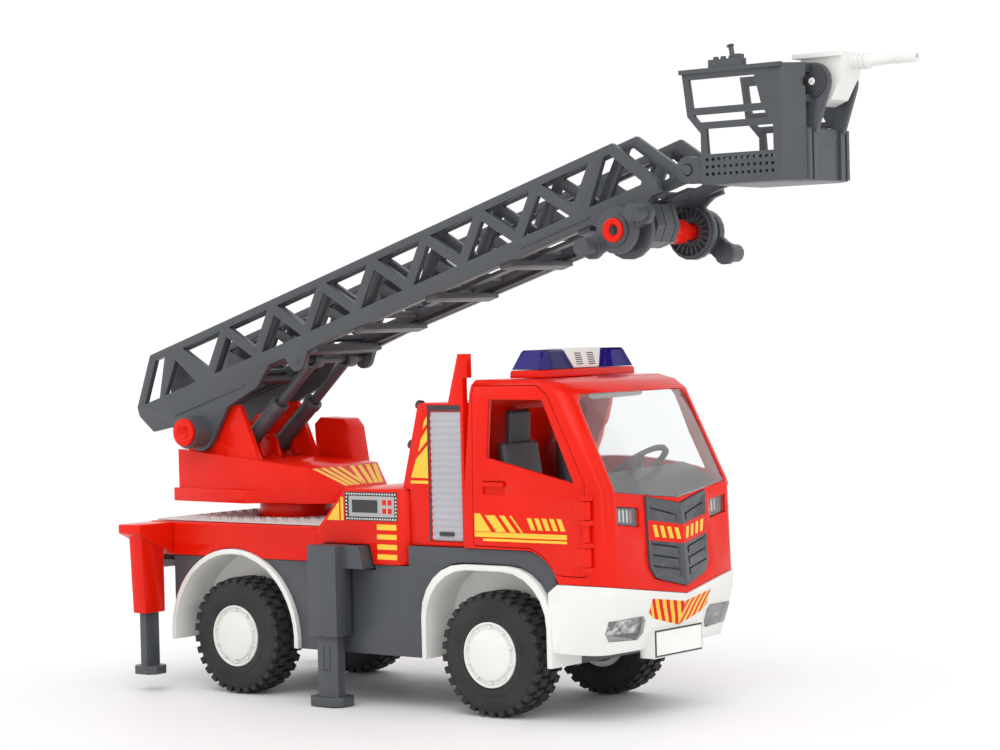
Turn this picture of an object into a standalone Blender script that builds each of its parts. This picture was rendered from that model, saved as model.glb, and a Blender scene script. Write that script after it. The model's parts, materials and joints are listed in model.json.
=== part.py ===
"""Toy fire engine with a turntable ladder, modelled piece by piece.

Lengths below are in millimetres and are turned into metres where a mesh is made.
X runs forward from the rear axle, Y to the vehicle's left, Z up from the ground.
The whole model then hangs on one empty that puts its origin under its middle.
The ladder and what it carries are drawn in the ladder's own frame: X along it,
Z square to it, with the origin on the pivot that raises it.
"""
import math

import bmesh
import bpy
from mathutils import Matrix, Vector

MM = 0.001
GAP = 0.3                      # space left between pieces that touch

# ---- driving dimensions --------------------------------------------------------------
WHEELBASE = 168.0
HALF_WIDTH = 53.5              # body side plane
TYRE_RADIUS = 30.0
TYRE_WIDTH = 20.0
RIM_RADIUS = 15.8
AXLE_RADIUS = 2.5
WHEEL_OUTER = 54.0             # outer face of a tyre
FENDER_RADIUS = 45.0
WALL = 2.4                     # moulded wall thickness

LOWER_Z = 26.0                 # underside of the skirts
SEAM_Z = 70.6                  # grey lower body meets the red bodywork
BED_Z = 88.0
BOX_Z = 107.7
TOWER_Z = 150.0
ROOF_Z = 161.0
SILL_Z = 80.4                  # top of the grey band over the front wheel

REAR_X = -60.0
BOX_X = (59.7, 78.3, 116.6)    # rear foot, rear top and front of the equipment box
CAB_REAR_X = 153.0
CAB_FRONT_X = 239.5
CAB_HALF = 53.8

TURN_X = -4.0                  # slewing axis
TURN_Z = 97.0                  # underside of the turntable
PIVOT = (-48.0, 0.0, 134.0)    # axis that raises the ladder
ELEVATION = 17.0               # degrees above level
OUTER_Y = (24.5, 27.5)         # side plates of the outer ladder
INNER_Y = (16.8, 19.6)         # side plates of the inner ladder
RAIL_TOP = 50.0
RAIL_LOW = 22.0
CRANK_AXIS = (299.4, 8.3)      # in the ladder's frame
BASKET_AXIS = (336.8, 24.7)    # in the ladder's frame
RAM_FOOT = (-28.0, 125.5)      # lower pin of the lifting cylinders
RAM_HEAD = (79.0, 14.7)        # upper pin, in the ladder's frame
RAM_Y = 13.0
CANNON_AXIS = (329.0, 292.5)   # trunnions of the water cannon
HINGE_X = 229.2                # cab door hinges
HINGE_Y = 56.4
KNUCKLES = ((74.6, 83.0), (96.4, 104.8))
WINDOW = [(168.4, 124.0), (170.2, 151.8), (202.0, 151.4), (220.6, 112.6)]
TOWER_SIDE = 50.6
SHUTTER = (131.5, 151.0, SILL_Z + 2.3, 146.0)
MID_LEG_X = (63.0, 81.7)
REAR_LEG_X = (-55.0, -46.0)
REEL_AXIS = (-72.0, 66.0)
FRONT_END = 375.0              # tip of the water cannon
REAR_END = -95.45              # rear corner of the ladder
ORIGIN_X = (FRONT_END + REAR_END) / 2

# ---- colours: red, green, blue, roughness, metallic ---------------------------------
COLOURS = {
    "red_plastic": (0.80, 0.035, 0.015, 0.30, 0.0),
    "grey_plastic": (0.085, 0.095, 0.110, 0.42, 0.0),
    "white_plastic": (0.82, 0.82, 0.79, 0.35, 0.0),
    "tyre_rubber": (0.018, 0.018, 0.020, 0.75, 0.0),
    "clear_plastic": (0.85, 0.88, 0.88, 0.05, 0.0),
    "blue_lens": (0.05, 0.02, 0.45, 0.08, 0.0),
    "shutter_grey": (0.45, 0.45, 0.49, 0.40, 0.0),
    "tread_grey": (0.60, 0.58, 0.60, 0.45, 0.0),
    "steel": (0.55, 0.56, 0.58, 0.30, 1.0),
}


# ---- scene and materials --------------------------------------------------------------
def clear_scene():
    for item in list(bpy.data.objects):
        bpy.data.objects.remove(item, do_unlink=True)


def make_material(name):
    red, green, blue, roughness, metallic = COLOURS[name]
    material = bpy.data.materials.new(name)
    material.use_nodes = True
    shader = material.node_tree.nodes["Principled BSDF"]
    shader.inputs["Base Color"].default_value = (red, green, blue, 1.0)
    shader.inputs["Roughness"].default_value = roughness
    shader.inputs["Metallic"].default_value = metallic
    return material


def make_empty(name, location, parent=None, tilt=0.0):
    empty = bpy.data.objects.new(name, None)
    COLLECTION.objects.link(empty)
    empty.location = Vector(location) * MM
    empty.rotation_euler = (0.0, math.radians(tilt), 0.0)
    empty.parent = parent
    return empty


# ---- solids ---------------------------------------------------------------------------
def link_mesh(builder, name="solid"):
    mesh = bpy.data.meshes.new(name)
    bmesh.ops.recalc_face_normals(builder, faces=builder.faces)
    builder.to_mesh(mesh)
    builder.free()
    solid = bpy.data.objects.new(name, mesh)
    COLLECTION.objects.link(solid)
    return solid


def block(low, high):
    """A box between two corners."""
    builder = bmesh.new()
    bmesh.ops.create_cube(builder, size=1.0)
    size = [(high[k] - low[k]) * MM for k in range(3)]
    middle = [(high[k] + low[k]) / 2 * MM for k in range(3)]
    bmesh.ops.transform(builder, verts=builder.verts,
                        matrix=Matrix.Translation(middle) @ Matrix.Diagonal((*size, 1.0)))
    return link_mesh(builder)


def rod(start, end, radius, sides=24, end_radius=None):
    """A cylinder, or a cone where end_radius differs, between two points."""
    first, last = Vector(start) * MM, Vector(end) * MM
    along = last - first
    builder = bmesh.new()
    bmesh.ops.create_cone(builder, cap_ends=True, segments=sides, radius1=radius * MM,
                          radius2=(radius if end_radius is None else end_radius) * MM,
                          depth=along.length)
    turn = along.to_track_quat("Z", "Y").to_matrix().to_4x4()
    bmesh.ops.transform(builder, verts=builder.verts,
                        matrix=Matrix.Translation((first + last) / 2) @ turn)
    return link_mesh(builder)


AXES = {"Y": ((1, 0, 0), (0, 0, 1), (0, -1, 0)), "X": ((0, 1, 0), (0, 0, 1), (1, 0, 0)),
        "Z": ((1, 0, 0), (0, 1, 0), (0, 0, 1))}


def slab(outline, low, high, along):
    """One flat outline extruded from low to high along an axis, with a single face on each end."""
    curve = bpy.data.curves.new("outline", "CURVE")
    curve.dimensions = "2D"
    curve.fill_mode = "BOTH"
    curve.extrude = (high - low) / 2 * MM
    spline = curve.splines.new("POLY")
    spline.points.add(len(outline) - 1)
    for point, (across, up) in zip(spline.points, outline):
        point.co = (across * MM, up * MM, 0.0, 1.0)
    spline.use_cyclic_u = True
    flat = bpy.data.objects.new("outline", curve)
    COLLECTION.objects.link(flat)
    builder = bmesh.new()
    builder.from_mesh(bpy.data.meshes.new_from_object(
        flat.evaluated_get(bpy.context.evaluated_depsgraph_get())))
    bpy.data.objects.remove(flat, do_unlink=True)
    bmesh.ops.remove_doubles(builder, verts=builder.verts, dist=0.00001)
    ends = {face for face in builder.faces if len({round(v.co.z, 7) for v in face.verts}) == 1}
    inner = [edge for edge in builder.edges if all(face in ends for face in edge.link_faces)]
    bmesh.ops.dissolve_edges(builder, edges=inner)
    middle = (low + high) / 2 * MM
    turn = Matrix(AXES[along]).transposed().to_4x4()
    shift = Vector({"Y": (0, middle, 0), "X": (middle, 0, 0), "Z": (0, 0, middle)}[along])
    bmesh.ops.transform(builder, verts=builder.verts, matrix=Matrix.Translation(shift) @ turn)
    return link_mesh(builder)


def prism(outlines, low, high, along="Y"):
    """Flat outlines, all but the first being holes, extruded from low to high along an axis.

    Outline points are (x, z) along Y, (y, z) along X and (x, y) along Z.
    """
    solid = slab(outlines[0], low, high, along)
    if len(outlines) == 1:
        return solid
    holes = bmesh.new()
    for outline in outlines[1:]:
        hole = slab(outline, low - 1.0, high + 1.0, along)
        holes.from_mesh(hole.data)
        bpy.data.objects.remove(hole, do_unlink=True)
    return cut(solid, link_mesh(holes))


def loft(sections):
    """A skin through closed sections with the same number of points, capped at both ends."""
    builder = bmesh.new()
    rings = [[builder.verts.new(Vector(point) * MM) for point in section] for section in sections]
    for lower, upper in zip(rings, rings[1:]):
        for k in range(len(lower)):
            after = (k + 1) % len(lower)
            builder.faces.new((lower[k], lower[after], upper[after], upper[k]))
    bmesh.ops.triangulate(builder, faces=builder.faces)
    builder.faces.new(list(reversed(rings[0])))
    builder.faces.new(rings[-1])
    return link_mesh(builder)


def turned(profile, centre, sides=40, bore=None):
    """A profile of (radius, y) points turned about an axis along Y, outer side first.

    The profile of a ring closes on itself; a solid one ends on the axis.
    """
    mesh = bpy.data.meshes.new("profile")
    points = [(radius * MM, 0.0, -offset * MM) for radius, offset in profile]
    edges = [(k, k + 1) for k in range(len(points) - 1)]
    if bore:
        edges.append((len(points) - 1, 0))
    mesh.from_pydata(points, edges, [])
    solid = bpy.data.objects.new("profile", mesh)
    COLLECTION.objects.link(solid)
    screw = solid.modifiers.new("Turn", "SCREW")
    screw.axis = "Z"
    screw.steps = sides
    screw.render_steps = sides
    screw.use_merge_vertices = True
    screw.merge_threshold = 0.00001
    freeze(solid)
    builder = bmesh.new()
    builder.from_mesh(solid.data)
    bpy.data.objects.remove(solid, do_unlink=True)
    turn = Matrix.Rotation(math.radians(90.0), 4, "X")
    bmesh.ops.transform(builder, verts=builder.verts,
                        matrix=Matrix.Translation(Vector(centre) * MM) @ turn)
    return link_mesh(builder)


def freeze(solid):
    """Replace a solid's mesh by what its modifiers make of it."""
    graph = bpy.context.evaluated_depsgraph_get()
    mesh = bpy.data.meshes.new_from_object(solid.evaluated_get(graph))
    solid.modifiers.clear()
    solid.data = mesh


def combine(solid, tools, operation):
    for tool in tools:
        step = solid.modifiers.new("Combine", "BOOLEAN")
        step.operation = operation
        step.object = tool
        step.solver = "EXACT"
        freeze(solid)
        bpy.data.objects.remove(tool, do_unlink=True)
    return solid


def unite(solid, *tools):
    return combine(solid, tools, "UNION")


def cut(solid, *tools):
    return combine(solid, tools, "DIFFERENCE")


def common(solid, *tools):
    return combine(solid, tools, "INTERSECT")


def rounded(solid, width, segments=2, angle=50.0):
    """Round the sharp edges of a solid."""
    bevel = solid.modifiers.new("Round", "BEVEL")
    bevel.width = width * MM
    bevel.segments = segments
    bevel.limit_method = "ANGLE"
    bevel.angle_limit = math.radians(angle)
    bevel.use_clamp_overlap = True
    freeze(solid)
    return solid


def mirrored(solid):
    """A copy of a solid on the other side of the vehicle."""
    builder = bmesh.new()
    builder.from_mesh(solid.data)
    bmesh.ops.scale(builder, vec=(1.0, -1.0, 1.0), verts=builder.verts)
    return link_mesh(builder)


def finish(solid, name, colour, parent, pivot=(0.0, 0.0, 0.0)):
    """Name a solid, move its origin to its joint, colour it and hang it on its parent."""
    builder = bmesh.new()
    builder.from_mesh(solid.data)
    bmesh.ops.remove_doubles(builder, verts=builder.verts, dist=0.000002)
    bmesh.ops.dissolve_limit(builder, angle_limit=math.radians(0.5), verts=builder.verts,
                             edges=builder.edges)
    bmesh.ops.translate(builder, verts=builder.verts, vec=-Vector(pivot) * MM)
    builder.to_mesh(solid.data)
    builder.free()
    solid.name = name
    solid.data.name = name
    solid.data.materials.clear()
    solid.data.materials.append(MATERIALS[colour])
    solid.data.shade_smooth()
    solid.data.set_sharp_from_angle(angle=math.radians(35.0))
    solid.location = Vector(pivot) * MM
    solid.parent = parent
    return solid


def both_sides(build, name, colour, parent, pivot=(0.0, 0.0, 0.0)):
    """Make a piece on the right, which is -Y, and its mirror image on the left."""
    right = build()
    left = mirrored(right)
    finish(right, name + "_right", colour, parent, pivot)
    finish(left, name + "_left", colour, parent, (pivot[0], -pivot[1], pivot[2]))


def arc(centre, radius, start, end, steps=8):
    """Points on a circle between two angles in degrees."""
    angles = [math.radians(start + (end - start) * k / steps) for k in range(steps + 1)]
    return [(centre[0] + radius * math.cos(a), centre[1] + radius * math.sin(a)) for a in angles]


def circle(centre, radius, sides=24):
    return arc(centre, radius, 0.0, 360.0 * (sides - 1) / sides, sides - 1)


# ---- running gear ---------------------------------------------------------------------
def tyre(x, side):
    half = TYRE_WIDTH / 2
    bead = RIM_RADIUS + GAP
    profile = [(TYRE_RADIUS, half - 3.0), (TYRE_RADIUS - 4.0, half), (bead, half), (bead, -half),
               (TYRE_RADIUS - 4.0, -half), (TYRE_RADIUS, 3.0 - half)]
    return turned(profile, (x, side * (WHEEL_OUTER - half), TYRE_RADIUS), 32, bore=True)


def rim(x, side):
    """A moulded wheel centre: a drum, a flat cap and a ring of small lugs."""
    face = side * WHEEL_OUTER
    centre = (x, 0.0, TYRE_RADIUS)
    drum = rod((x, side * 35.0, centre[2]), (x, face - side * 1.2, centre[2]), RIM_RADIUS, 28)
    drum = cut(drum, rod((x, side * 34.0, centre[2]), (x, side * 46.0, centre[2]), 13.0, 20))
    cap = rod((x, face - side * 3.0, centre[2]), (x, face + side * 0.4, centre[2]), 9.0, 20)
    hub = rod((x, side * 35.6, centre[2]), (x, face - side * 2.0, centre[2]), 5.0, 12)
    drum = unite(drum, cap, hub)
    return cut(drum, rod((x, side * 34.0, centre[2]), (x, side * 49.3, centre[2]), AXLE_RADIUS + 0.3, 12))


def running_gear(root):
    for label, x in (("rear", 0.0), ("front", WHEELBASE)):
        pivot = (x, 0.0, TYRE_RADIUS)
        shaft = rod((x, -49.0, TYRE_RADIUS), (x, 49.0, TYRE_RADIUS), AXLE_RADIUS, 12)
        finish(shaft, label + "_axle", "steel", root, pivot)
        for hand, side in (("right", -1), ("left", 1)):
            finish(rim(x, side), "%s_rim_%s" % (label, hand), "white_plastic", root, pivot)
            finish(tyre(x, side), "%s_tyre_%s" % (label, hand), "tyre_rubber", root, pivot)


# ---- lower body -----------------------------------------------------------------------
def front_arch(grow):
    """Side outline of the front wheel arch, from its rear foot over to its front foot."""
    centre = WHEELBASE - 1.5
    half = 39.5 + grow
    top = 72.8 + grow
    corner = 26.0
    low = LOWER_Z
    points = [(centre - half, low)]
    points += arc((centre - half + corner, top - corner), corner, 180.0, 90.0, 6)
    points += arc((centre + half - corner, top - corner), corner, 90.0, 0.0, 6)
    points += [(centre + half, low)]
    return points


def chassis_side(y_low, y_high):
    """A side skirt with its front wheel arch and the notch for the middle outrigger."""
    seam = SEAM_Z - GAP
    outline = [(-44.0, LOWER_Z), (-44.0, seam), (62.6, seam), (62.6, 67.8), (97.0, 67.8), (95.8, seam),
               (118.0, seam), (118.0, SILL_Z), (190.0, SILL_Z)]
    outline += arc((190.0, SILL_Z - 20.0), 20.0, 75.0, 30.0, 4)
    outline += [(208.2, 65.6), (204.3, 62.0)]
    arch = [p for p in front_arch(0.7) if p[1] > 48.0]
    outline += [(p[0], p[1]) for p in reversed(arch) if p[0] <= 204.3]
    outline += [(WHEELBASE - 1.5 - 40.2, LOWER_Z), (WHEELBASE - 1.5 - 50.0, LOWER_Z)]
    return prism([outline], y_low, y_high)


def chassis(root):
    """Grey lower body: skirts, decks and a spine of two rails that carries the axles."""
    frame = chassis_side(-52.6, -50.2)
    other = mirrored(frame)
    deck = block((-43.6, -50.6, 64.0), (118.6, 50.6, 67.6))
    front_deck = block((117.4, -50.8, 76.6), (189.4, 50.8, SILL_Z - 0.2))
    step = block((117.2, -50.4, 65.0), (119.4, 50.4, 79.0))
    rails = [block((-48.0, -30.0, 24.0), (119.0, -27.4, 65.0)),
             block((-48.0, 27.4, 24.0), (119.0, 30.0, 65.0)),
             block((117.5, -29.8, 24.4), (202.0, -27.2, 77.4)),
             block((117.5, 27.2, 24.4), (202.0, 29.8, 77.4))]
    cross = [block((44.5, -51.2, LOWER_Z + 0.6), (46.9, 51.2, 66.0)),
             block((112.8, -51.4, LOWER_Z + 0.8), (115.4, 51.4, 66.2)),
             block((-48.2, -30.4, 26.0), (-45.8, 30.4, 65.4)),
             block((199.6, -30.2, 25.0), (202.2, 30.2, 77.0))]
    tow_eye = block((-54.0, -4.0, 30.0), (-47.6, 4.0, 34.0))
    frame = unite(frame, deck, other, front_deck, step, *rails, *cross, tow_eye, *reel_arms())
    bores = [rod((x, -35.0, TYRE_RADIUS), (x, 35.0, TYRE_RADIUS), AXLE_RADIUS + 0.3, 12)
             for x in (0.0, WHEELBASE)]
    arches = [rod((0.0, side * 30.7, TYRE_RADIUS), (0.0, side * 60.0, TYRE_RADIUS),
                  FENDER_RADIUS + 0.4, 48) for side in (-1, 1)]
    finish(cut(frame, *bores, *arches), "chassis_frame", "grey_plastic", root)


def reel_arms():
    """Two slim arms behind the bed and the spindle that the hose reel turns on."""
    x, z = REEL_AXIS
    arms = [block((x - 1.8, y - 1.0, z - 1.7), (-42.0, y + 1.0, z + 1.5)) for y in (-51.3, 51.3)]
    return arms + [rod((x, -51.0, z), (x, 51.0, z), 1.2, 12)]


def rear_fender():
    outer = arc((0.0, TYRE_RADIUS), FENDER_RADIUS, -5.0, 185.0, 24)
    inner = arc((0.0, TYRE_RADIUS), FENDER_RADIUS - 2.6, 185.0, -5.0, 24)
    lip = prism([outer + inner], -54.8, -31.0)
    back = arc((0.0, TYRE_RADIUS), FENDER_RADIUS - 1.0, 20.0, 160.0, 16)
    wall = prism([back], -32.4, -31.0)
    return unite(cut(lip, block((-60.0, -60.0, 10.0), (60.0, -20.0, LOWER_Z))), wall)


def hose_reel(root):
    """Drum with four flanges, free to turn on its spindle behind the bed."""
    x, z = REEL_AXIS
    drum = rod((x, -47.5, z), (x, 47.5, z), 5.0, 12)
    flanges = [rod((x, y - 1.0, z), (x, y + 1.0, z), 8.6, 16) for y in (-48.0, -16.0, 16.0, 48.0)]
    drum = unite(drum, *flanges)
    drum = cut(drum, rod((x, -60.0, z), (x, 60.0, z), 1.5, 12))
    finish(drum, "hose_reel", "grey_plastic", root, (x, 0.0, z))


# ---- red bodywork ---------------------------------------------------------------------
def rear_body(root):
    """Bed and equipment box, moulded as one open-bottomed shell."""
    def profile(wall):
        return [(REAR_X + wall, SEAM_Z - wall), (REAR_X + wall, BED_Z - wall),
                (BOX_X[0] + wall * 0.5, BED_Z - wall), (BOX_X[1] + wall * 0.5, BOX_Z - wall),
                (BOX_X[2] - wall, BOX_Z - wall), (BOX_X[2] - wall, SEAM_Z - wall)]

    def plan(wall):
        side = HALF_WIDTH - wall
        half = [(REAR_X + wall, -side), (BOX_X[2] - 4.6 - wall * 0.4, -side),
                (BOX_X[2] - wall, -(side - 4.6))]
        return half + [(x, -y) for x, y in reversed(half)]

    shell = common(prism([profile(0.0)], -60.0, 60.0), prism([plan(0.0)], 60.0, 120.0, "Z"))
    hollow = common(prism([profile(WALL)], -60.0, 60.0), prism([plan(WALL)], 60.0, 120.0, "Z"))
    lower = cut(shell, hollow)
    slot = prism([[(62.6, 60.0), (62.6, 80.2), (93.6, 80.2), (98.2, 60.0)]], -60.0, 60.0)
    bearing = rod((TURN_X, 0.0, 80.0), (TURN_X, 0.0, 95.0), 8.4, 28)
    arch = rod((0.0, -60.0, TYRE_RADIUS), (0.0, 60.0, TYRE_RADIUS), FENDER_RADIUS + 0.4, 48)
    finish(cut(lower, slot, bearing, arch), "rear_body", "red_plastic", root)


def tread_plate(root):
    outline = [(-58.0, -51.0), (58.0, -51.0), (58.0, 51.0), (-58.0, 51.0)]
    plate = prism([outline, circle((TURN_X, 0.0), 22.0, 32)], BED_Z + GAP, BED_Z + 1.0, "Z")
    finish(plate, "bed_tread_plate", "tread_grey", root)


def pedestal(root):
    """Fixed collar that the turntable turns on, with its king pin."""
    collar = rod((TURN_X, 0.0, BED_Z + GAP), (TURN_X, 0.0, TURN_Z - 0.4), 20.0, 28)
    pin = unite(rod((TURN_X, 0.0, 79.0), (TURN_X, 0.0, TURN_Z + 7.0), 7.9, 20),
                rod((TURN_X, 0.0, TURN_Z + 5.4), (TURN_X, 0.0, TURN_Z + 8.0), 10.0, 16),
                rod((TURN_X, 0.0, 78.0), (TURN_X, 0.0, 82.0), 10.0, 16))
    finish(unite(collar, pin), "turntable_pedestal", "red_plastic", root)


def locker_tower(root):
    """Locker behind the cab with a recess for a shutter on each side and two rear ears."""
    rear = 118.4
    front = CAB_REAR_X - GAP
    low = SILL_Z + GAP
    outline = [(rear, low), (rear, BOX_Z + GAP), (113.6, BOX_Z + GAP), (124.4, TOWER_Z - 1.0),
               (126.0, TOWER_Z), (front, TOWER_Z), (front, low)]
    body = prism([outline], -TOWER_SIDE, TOWER_SIDE)
    inside = [(rear + WALL, 70.0), (rear + WALL, BOX_Z + 3.0), (119.0, BOX_Z + 3.0),
              (127.0, TOWER_Z - WALL), (front - WALL, TOWER_Z - WALL), (front - WALL, 70.0)]
    ear = [(143.0, TOWER_Z - 1.0), (150.0, 173.5), (155.6, 173.5), (155.6, ROOF_Z + 1.0),
           (front, ROOF_Z + 1.0), (front, TOWER_Z - 1.0)]
    ears = [prism([ear], *sorted((side * (TOWER_SIDE - 0.2), side * 46.8))) for side in (-1, 1)]
    body = cut(body, prism([inside], -46.2, 46.2))
    body = unite(body, *ears)
    x_low, x_high, z_low, z_high = SHUTTER
    recess = [block((x_low, y, z_low), (x_high, y + 10.0, z_high)) for y in (-58.9, 48.9)]
    finish(cut(body, *recess), "locker_tower", "red_plastic", root)


def shutter():
    """Roller shutter with square slats."""
    x_low, x_high, z_low, z_high = SHUTTER
    pitch = 3.2
    rows = int((z_high - z_low - 1.2) / pitch)
    points = [(-48.9 - GAP, z_low + GAP)]
    for k in range(rows):
        base = z_low + 0.8 + k * pitch
        points += [(-50.0, base), (-50.4, base + 0.8), (-50.4, base + 2.0), (-50.0, base + 2.8)]
    points += [(-50.0, z_high - GAP), (-48.9 - GAP, z_high - GAP)]
    return prism([points], x_low + GAP, x_high - GAP, "X")


# ---- cab ------------------------------------------------------------------------------
def cab_section(z, inset):
    """Plan outline of the cab at a height: straight sides, round corners, a pointed nose."""
    levels = [(50.0, 240.0, 6.0, 53.8), (109.0, 238.2, 3.4, 53.8), (154.0, 215.8, 2.6, 52.6),
              (158.5, 210.0, 2.2, 51.4), (161.0, 203.0, 1.6, 48.0)]
    for (z0, f0, n0, h0), (z1, f1, n1, h1) in zip(levels, levels[1:]):
        if z <= z1:
            break
    share = (min(z, z1) - z0) / (z1 - z0)
    front = f0 + (f1 - f0) * share - inset
    nose = n0 + (n1 - n0) * share
    half = h0 + (h1 - h0) * share - inset
    rear = CAB_REAR_X + max(0.0, z - 80.0) * 0.075 + inset
    radius = 9.0 - inset * 0.6
    right = [(rear, -half)]
    right += arc((front - radius, -half + radius), radius, -90.0, -18.0, 5)
    right += [(front + nose, 0.0)]
    left = [(x, -y) for x, y in reversed(right[:-1])]
    return [(x, y, z) for x, y in right + left]


def cab_solid(inset, top=ROOF_Z, bottom=50.0):
    """Outer form of the cab drawn in by an inset, cut off at a top height."""
    heights = [bottom, 109.0, 131.0, 154.0, 158.5, 161.0]
    sections = [[(x, y, min(z, top)) for x, y, _ in cab_section(z, inset)] for z in heights]
    if top < ROOF_Z:
        sections.pop()
    return loft(sections)


def seam_cutter(shift, above):
    """Everything above or below the pointed seam between the red cab and the white bumper."""
    far = 200.0 if above else -50.0
    line = [(-70.0, 67.8 + shift), (0.0, 58.2 + shift), (70.0, 67.8 + shift)]
    return prism([line + [(70.0, far), (-70.0, far)]], 100.0, 300.0, "X")


def windscreen_outline(grow):
    half = [(45.2 + grow, 108.6 - grow), (44.2 + grow, 150.0), (40.6 + grow, 153.6 + grow)]
    return half + [(-y, z) for y, z in reversed(half)] + [(0.0, 103.4 - grow)]


def grille_outline(grow):
    top = [(24.6 + grow, 105.4 + grow), (0.0, 100.6 + grow), (-24.6 - grow, 105.4 + grow)]
    low = [(-24.0 - grow, 72.0), (-20.6 - grow, 67.0 - grow), (-16.0, 65.6 - grow),
           (0.0, 61.8 - grow), (16.0, 65.6 - grow), (20.6 + grow, 67.0 - grow), (24.0 + grow, 72.0)]
    return top + low


def indicator_outline(grow):
    return [(29.4 - grow, 91.5 - grow), (29.4 - grow, 100.0 + grow), (44.6 + grow, 101.6 + grow),
            (44.6 + grow, 93.6 - grow)]


def headlight_outline(grow):
    return [(25.6 - grow, 41.6), (28.0, 38.6 - grow), (48.0, 39.6 - grow), (50.0 + grow, 43.0),
            (50.0 + grow, 48.8 + grow), (27.6, 49.4 + grow), (25.6 - grow, 47.0)]


def flipped(outline):
    return [(-y, z) for y, z in outline]


def door_outline(grow):
    """Side outline of a cab door; the lower front corner follows the wheel arch."""
    points = [(160.4 - grow, 82.2 - grow), (160.4 - grow, 158.0 + grow), (198.0 + grow, 158.0 + grow),
              (205.0 + grow, 153.4 + grow), (226.4 + grow, 112.6), (226.4 + grow, 69.6 - grow),
              (213.6 - grow, 69.6 - grow)]
    points += arc((190.0, SILL_Z - 20.0 + 1.8), 20.0 - grow, 24.0, 80.0, 4)
    return points


def cab_shell(root):
    shell = cut(cab_solid(0.0), cab_solid(WALL, top=ROOF_Z - WALL, bottom=40.0))
    under = [(140.0, 30.0), (140.0, SILL_Z + GAP), (190.0, SILL_Z + GAP)]
    under += arc((190.0, SILL_Z - 20.0 + GAP), 20.3, 78.0, 30.0, 4)
    under += [(211.4, 64.0), (211.4, 30.0)]
    openings = [prism([door_outline(0.4)], -60.0, -48.4), prism([door_outline(0.4)], 48.4, 60.0),
                prism([windscreen_outline(GAP)], 190.0, 260.0, "X"),
                prism([grille_outline(GAP)], 200.0, 260.0, "X"),
                prism([indicator_outline(GAP)], 200.0, 260.0, "X"),
                prism([flipped(indicator_outline(GAP))], 200.0, 260.0, "X"),
                prism([[(-38.0, 104.0), (-38.0, 146.0), (38.0, 146.0), (38.0, 104.0)]], 140.0, 170.0, "X")]
    shell = cut(shell, seam_cutter(0.0, False), prism([under], -70.0, 70.0), *openings)
    lugs = []
    for side in (-1, 1):
        for low, high in KNUCKLES:
            for z_low, z_high in ((low - 2.6, low - 0.4), (high + 0.4, high + 2.6)):
                y_low, y_high = sorted((side * 52.0, side * (HINGE_Y + 2.2)))
                lugs.append(block((HINGE_X - 1.4, y_low, z_low), (HINGE_X + 2.2, y_high, z_high)))
            lugs.append(rod((HINGE_X, side * HINGE_Y, low - 1.0), (HINGE_X, side * HINGE_Y, high + 1.0),
                            1.0, 12))
    finish(unite(shell, *lugs), "cab_shell", "red_plastic", root)


def cab_door():
    """Right-hand door with its window opening, handle recess and two hinge knuckles."""
    panel = common(cut(cab_solid(0.0), cab_solid(WALL, top=ROOF_Z - WALL, bottom=40.0)),
                   prism([door_outline(0.0)], -60.0, -48.6))
    handle = block((166.4, -60.0, 106.5), (180.0, -52.4, 113.0))
    panel = cut(panel, prism([WINDOW], -60.0, -40.0), handle)
    for low, high in KNUCKLES:
        arm = block((HINGE_X - 6.4, -54.9, low), (HINGE_X - 3.4, -51.8, high))
        reach = block((HINGE_X - 6.0, -HINGE_Y - 0.8, low + 0.1), (HINGE_X, -54.3, high - 0.1))
        barrel = rod((HINGE_X, -HINGE_Y, low), (HINGE_X, -HINGE_Y, high), 2.3, 16)
        panel = unite(panel, arm, reach, barrel)
        panel = cut(panel, rod((HINGE_X, -HINGE_Y, low - 3.0), (HINGE_X, -HINGE_Y, high + 3.0), 1.35, 16))
    return panel


def skin_patch(outline, proud, depth):
    """A piece of the cab's skin inside a front outline, from proud of it to some depth."""
    skin = cut(cab_solid(-proud), cab_solid(depth, top=ROOF_Z - depth, bottom=40.0))
    return common(skin, prism([outline], 190.0, 260.0, "X"))


def cab_glazing(root):
    finish(skin_patch(windscreen_outline(0.0), -0.2, 1.8), "windscreen", "clear_plastic", root)
    grille = skin_patch(grille_outline(0.0), 1.0, 2.0)
    finish(grille, "grille", "grey_plastic", root)
    both_sides(lambda: skin_patch(flipped(indicator_outline(0.0)), -0.8, 2.4),
               "indicator_lens", "clear_plastic", root)


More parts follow.
